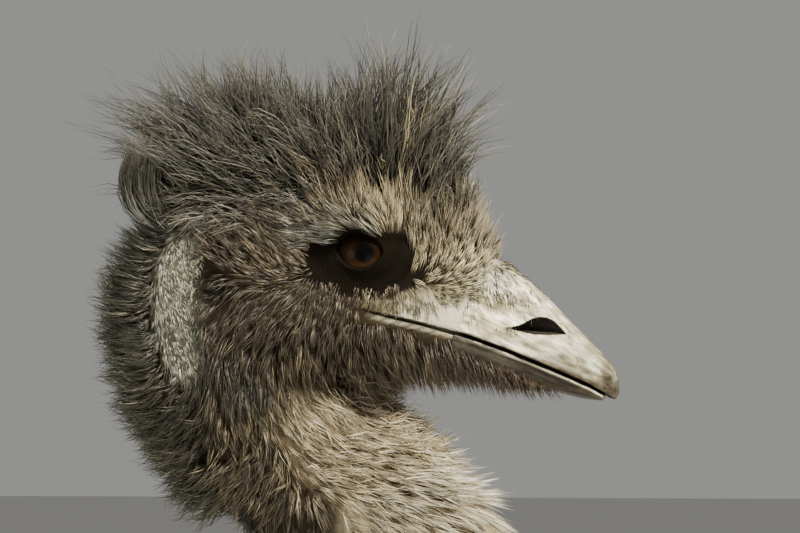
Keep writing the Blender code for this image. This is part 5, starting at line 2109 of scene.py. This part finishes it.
@dataclass
class Eyes:
    """The two eyeballs, with iris, pupil and a slightly raised clear front."""

    radius: float = 0.0147
    look: float = math.radians(2)
    pupil_look: float = math.radians(7)
    iris: float = 0.0094
    pupil: float = 0.0036
    bulge: float = 0.0007
    ring_width: float = 0.0024
    brown: Array = held(0.016, 0.007, 0.0035)
    # lit_amber is the iris's amber as lit on its lower half, and lid_shade is painted shade on its top
    lit_amber: tuple = (0.080, 0.036, 0.012)
    lid_shade: tuple = (0.004, 0.003, 0.002)
    limbus: tuple = (0.006, 0.004, 0.003)
    black: tuple = (0.002, 0.002, 0.002)

    def way(self, side: float, turn: float) -> Array:
        """The way that one eye looks, turned forward from straight aside."""
        return np.array([math.sin(turn), side * math.cos(turn), 0.0])

    def build(self) -> None:
        """Makes and dresses both eyes."""
        material = EyeFinish().material()
        for name, side in SIDES.items():
            low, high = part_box(f"eye_{name}")
            centre = (low + high) / 2
            made = ball(f"eyeball_{name}", tuple(centre), (self.radius,) * 3, 96)
            look = self.way(side, self.look)
            points = corners(made.data)
            outward = unit(points - np.array(centre))
            facing = (outward * look).sum(1)
            away = self.radius * np.sqrt(np.maximum(1 - facing**2, 0.0))
            away = np.where(facing > 0, away, 1.0)
            points += outward * (self.bulge * bell(away, 0.0, self.iris * 0.8))[:, None]
            move_corners(made.data, points)
            drop = outward[:, 2] * self.radius / self.iris
            ring = bell(away, self.iris * 0.66, self.ring_width)
            look = self.way(side, self.pupil_look)
            middle = self.radius * np.linalg.norm(np.cross(outward, look), axis=1)
            middle = np.where((outward * look).sum(1) > 0, middle, 1.0)
            # Painted light and shade: the amber and its ring show only on the lower half of the iris, where
            # the light falls, and lid_shade darkens the top as painted shade from the lid and brow. The
            # limbus and the pupil are the eye's own colours.
            layers = [
                (0.9 * smooth(-drop, 0.15, 0.85) * (0.4 + 0.6 * ring), self.lit_amber),
                (0.7 * smooth(drop, -0.2, 0.7), self.lid_shade),
                (smooth(away, self.iris * 0.86, self.iris), self.limbus),
                (1 - smooth(middle, self.pupil * 0.9, self.pupil * 1.2), self.black),
            ]
            paint(made.data, lay(self.brown, layers))
            made.data.materials.append(material)
            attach(made, BODY)
            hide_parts(f"eye_{name}")
            report(made)


@dataclass(frozen=True)
class Toe:
    """A toe: degrees out from the middle one, length, radius at its root, joints and claw."""

    spread: float
    length: float
    radius: float
    joints: int
    claw: float

    def plates(self, share: Array) -> Array:
        """How far along its own plate each share of the toe's length is, from 0 to 1."""
        return (share * self.joints * 1.5) % 1.0


TOES = {
    "middle": Toe(0.0, 0.134, 0.0150, 8, 0.032),
    "inner": Toe(-32.0, 0.096, 0.0125, 6, 0.026),
    "outer": Toe(32.0, 0.102, 0.0125, 6, 0.026),
}


@dataclass
class BareLeg:
    """The scaly shank and toes of one side, with their claws.

    turn_out is in degrees, and the first and the last plate are at stations of the leg. Each
    plate stands out by a share of the shank's radius, and on the toes by a height. sole is how
    much of a toe is pressed flat against the ground.
    """

    name: str
    turn_out: float = 4.0
    pad_forward: float = 0.006
    pad_sink: float = 0.004
    pad_radii: tuple = (0.031, 0.029, 0.0205)
    plate_count: int = 24
    first_plate: float = 4.6
    last_plate: float = 8.7
    plate_lift: float = 0.12
    toe_lift: float = 0.0030
    sole: float = 0.0025
    shank_rings: int = 380
    shank_sides: int = 56
    toe_sides: int = 40
    claw_sides: int = 24
    scale_colour: Array = held(0.056, 0.048, 0.037)
    sole_colour: Array = held(0.15, 0.13, 0.10)
    claw_root: Array = held(0.050, 0.042, 0.034)
    claw_tip: Array = held(0.018, 0.016, 0.014)

    def __post_init__(self) -> None:
        """Finds the side and the place that the toes spread from."""
        self.side = SIDES[self.name]
        foot = LEGS[self.name].at(LEGS[self.name].last)[0]
        self.root = np.array([foot[0] + self.pad_forward, foot[1], 0.0])

    def shank(self) -> Object:
        """The shank, with a row of broad plates that overlap down its front.

        Returns:
            The shank, not yet joined to the toes.
        """
        axis = LEGS[self.name]
        places = np.linspace(ANKLE_PLACE - 0.60, axis.last, self.shank_rings)
        rings = axis.rings(places, self.shank_sides, 2.0)
        centre = axis.at(places)[:, None, :3]
        angle = np.linspace(0, 2 * math.pi, self.shank_sides, endpoint=False)
        front = np.clip(-np.sin(angle), 0, 1) ** 0.6
        lift = self.plate_lift * self.plates(places) ** 1.4
        sleeve = 0.05 * smooth(places, ANKLE_PLACE - 0.5, ANKLE_PLACE - 0.1)
        grown = 1 + sleeve[:, None] + lift[:, None] * front[None]
        return loft(f"leg_scales_{self.name}", centre + (rings - centre) * grown[..., None])

    def plates(self, places: Array) -> Array:
        """How far down its own plate each place of the shank is, from 0 to 1."""
        saw = (places - self.first_plate) / (self.last_plate - self.first_plate) * self.plate_count
        return (saw % 1.0) * smooth(places, self.first_plate - 0.2, self.first_plate + 0.3)

    def seams(self, points: Array) -> Array:
        """How deep in a seam between two plates each point of the shank or a toe is.

        Args:
            points: Places on the shank or the toes.

        Returns:
            From 0 to 1 for each.
        """
        axis = LEGS[self.name]
        places = np.linspace(0, axis.last, 600)
        line = axis.at(places)
        place = np.interp(-points[:, 2], -line[:, 2], places)
        middle = np.interp(place, places, line[:, 0])
        seam = smooth(self.plates(place), 0.72, 0.95) * smooth(points[:, 0] - middle, 0.0, 0.012)
        for toe in TOES.values():
            heading = self.heading(toe)
            share = (points - self.root) @ heading / toe.length
            middle = np.outer(share * toe.length, heading[:2])
            off = np.linalg.norm((points - self.root)[:, :2] - middle, axis=1)
            on_toe = (share > 0.25) & (share < 1) & (off < toe.radius) & (points[:, 2] > toe.radius)
            seam = np.where(on_toe, smooth(toe.plates(share), 0.70, 0.92), seam)
        return seam

    def heading(self, toe: Toe) -> Array:
        """The way a toe points."""
        angle = math.radians((toe.spread + self.turn_out) * self.side)
        return np.array([math.cos(angle), math.sin(angle), 0.0])

    def toe(self, toe: Toe) -> Object:
        """One toe, with a plate over each joint and soft pads under it.

        Args:
            toe: Its sizes.

        Returns:
            The toe.
        """
        heading = self.heading(toe)
        across = np.array([-heading[1], heading[0], 0.0])
        share = np.linspace(0, 1, 130)
        girth = toe.radius * (1 - 0.40 * share)
        plates = self.toe_lift * toe.plates(share) ** 1.4
        pads = 0.05 * np.sin(share * toe.joints * math.pi) ** 2
        end = np.sqrt(np.clip(1 - smooth(share, 0.93, 1.02) ** 2, 0.05, 1))
        rings = []
        for wide, rise in turns(self.toe_sides):
            height = rise * (girth + plates * max(rise, 0)) * end
            level = girth - self.sole + height
            span = wide * girth * (1 + pads * max(-rise, 0)) * end
            ring = self.root + np.outer(toe.length * share, heading) + np.outer(span, across)
            ring[:, 2] = np.maximum(level, 0.0)
            rings.append(ring)
        return loft("toe", np.stack(rings, 1))

    def pad(self) -> Object:
        """The rounded pad that the toes spread from.

        Returns:
            The pad.
        """
        centre = self.root + np.array([0, 0, self.pad_radii[2] - self.pad_sink])
        made = ball("pad", tuple(centre), self.pad_radii, 64)
        points = corners(made.data)
        points[:, 2] = np.maximum(points[:, 2], 0.0)
        move_corners(made.data, points)
        return made

    def claw(self, toe: Toe) -> Array:
        """Rings of points of a blunt curved claw at the end of a toe.

        Args:
            toe: The sizes of its toe.

        Returns:
            Points as rings by sides by 3.
        """
        heading = self.heading(toe)
        across = np.array([-heading[1], heading[0], 0.0])
        share = np.linspace(0, 1, 40)
        depth = 0.46 * toe.radius
        girth = depth * (1 - share) ** 0.6 * 1.12 + 0.0006
        level = 0.0009 + depth * (1 - share**2)
        rings = []
        for wide, rise in turns(self.claw_sides):
            along = np.outer(toe.length - 0.004 + (toe.claw + 0.004) * share, heading)
            ring = self.root + along + np.outer(wide * girth * 0.82, across)
            ring[:, 2] = np.maximum(level + rise * girth, 0.0)
            rings.append(ring)
        return np.stack(rings, 1)

    def build(self, scales: Material, horn: Material) -> None:
        """Makes and dresses the leg and its claws.

        Args:
            scales: The material of the shank and toes.
            horn: The claws' material.
        """
        made = self.shank()
        boolean(made, [self.pad(), *[self.toe(toe) for toe in TOES.values()]], "UNION")
        made.name = f"leg_scales_{self.name}"
        points = corners(made.data)
        cloud = 0.5 + 0.5 * np.sin(points[:, 2] * 150 + points[:, 0] * 90)
        shade = (0.80 + 0.35 * cloud) * (1 - 0.6 * self.seams(points))
        sole = smooth(-points[:, 2], -0.006, -0.001)
        paint(made.data, lay(self.scale_colour * shade[:, None], [(sole, self.sole_colour)]))
        made.data.shade_smooth()
        made.data.materials.clear()
        made.data.materials.append(scales)
        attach(made, BODY)
        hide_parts(f"leg_lower_{self.name}", *[f"toe_{toe}_{self.name}" for toe in TOES])
        report(made)
        for label, toe in TOES.items():
            claw = loft(f"claw_horn_{label}_{self.name}", self.claw(toe))
            points = corners(claw.data)
            ahead = ((points - self.root) @ self.heading(toe) - toe.length) / toe.claw
            paint(claw.data, lay(self.claw_root, [(ahead, self.claw_tip)]))
            claw.data.materials.append(horn)
            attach(claw, BODY)
            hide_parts(f"claw_{label}_{self.name}")
            report(claw)


@dataclass(frozen=True)
class Lamp:
    """A round soft light: its place, width, power in watts and colour."""

    name: str
    place: tuple
    size: float
    power: float
    colour: tuple

    def build(self) -> None:
        """Makes the light, pointed at the head."""
        data = bpy.data.lights.new(self.name, "AREA")
        data.shape, data.size, data.energy, data.color = "DISK", self.size, self.power, self.colour
        lamp = in_scene(self.name, data)
        lamp.location = self.place
        lamp.rotation_mode = "QUATERNION"
        lamp.rotation_quaternion = (Vector(HEAD_PLACE) - Vector(self.place)).to_track_quat("-Z", "Y")


@dataclass
class Studio:
    """The floor, the soft lights and the camera, which aims beside the head's place."""

    lens: float = 450.0
    sensor: float = 36.0
    distance: float = 4.0
    turn: float = math.radians(9.0)
    aim: Array = held(16.2, 0.0, -5.4)
    floor_half: float = 60.0
    floor_drop: float = 0.0002
    sky: tuple = (0.80, 0.80, 0.78, 1.0)
    sky_strength: float = 0.38
    lamps: tuple = (
        Lamp("key", (1.9, -1.5, 3.9), 0.55, 310.0, (1.0, 0.95, 0.83)),
        Lamp("fill", (-2.2, -2.6, 1.2), 2.0, 48.0, (0.98, 0.98, 0.94)),
        Lamp("under", (1.6, -2.4, 0.5), 1.6, 22.0, (1.0, 0.98, 0.92)),
        Lamp("rim", (-1.2, 2.4, 3.0), 1.4, 80.0, (1.0, 0.98, 0.94)),
        Lamp("front", (3.0, 1.0, 1.8), 1.6, 30.0, (1.0, 0.97, 0.92)),
    )

    def build(self) -> None:
        """Makes the stage, the lights and the camera."""
        shape = bmesh.new()
        bmesh.ops.create_grid(shape, x_segments=8, y_segments=8, size=self.floor_half)
        mesh = bpy.data.meshes.new("floor")
        shape.to_mesh(mesh)
        shape.free()
        floor = in_scene("floor", mesh)
        mesh.materials.append(FloorFinish().material())
        floor.location.z = -self.floor_drop
        world = bpy.data.worlds.new("studio")
        world.use_nodes = True
        sky = world.node_tree.nodes["Background"]
        sky.inputs["Color"].default_value = self.sky
        sky.inputs["Strength"].default_value = self.sky_strength
        bpy.context.scene.world = world
        for lamp in self.lamps:
            lamp.build()
        data = bpy.data.cameras.new("view")
        data.lens, data.sensor_width = self.lens, self.sensor
        data.clip_start, data.clip_end = 0.1, 200.0
        camera = in_scene("view", data)
        back = np.array([math.sin(self.turn), -math.cos(self.turn), 0.0])
        camera.location = Vector(HEAD_PLACE + self.aim * MM + back * self.distance)
        camera.rotation_mode = "QUATERNION"
        camera.rotation_quaternion = Vector(-back).to_track_quat("-Z", "Y")
        bpy.context.scene.camera = camera


def main() -> None:
    """Builds the bird, its coat and the stage, in order."""
    logging.basicConfig(level=logging.INFO, format="%(name)s %(relativeCreated)d ms: %(message)s")
    coat_map = CoatMap()
    skin = Skin().build(coat_map)
    report(skin)
    jaws = Bill().build()
    Coat(skin, coat_map).build(jaws)
    Eyes().build()
    scales, claws = ScaleFinish().material(), HornFinish("claw_polish", 0.38).material()
    for name in SIDES:
        BareLeg(name).build(scales, claws)
    Studio().build()


if __name__ == "__main__":
    main()
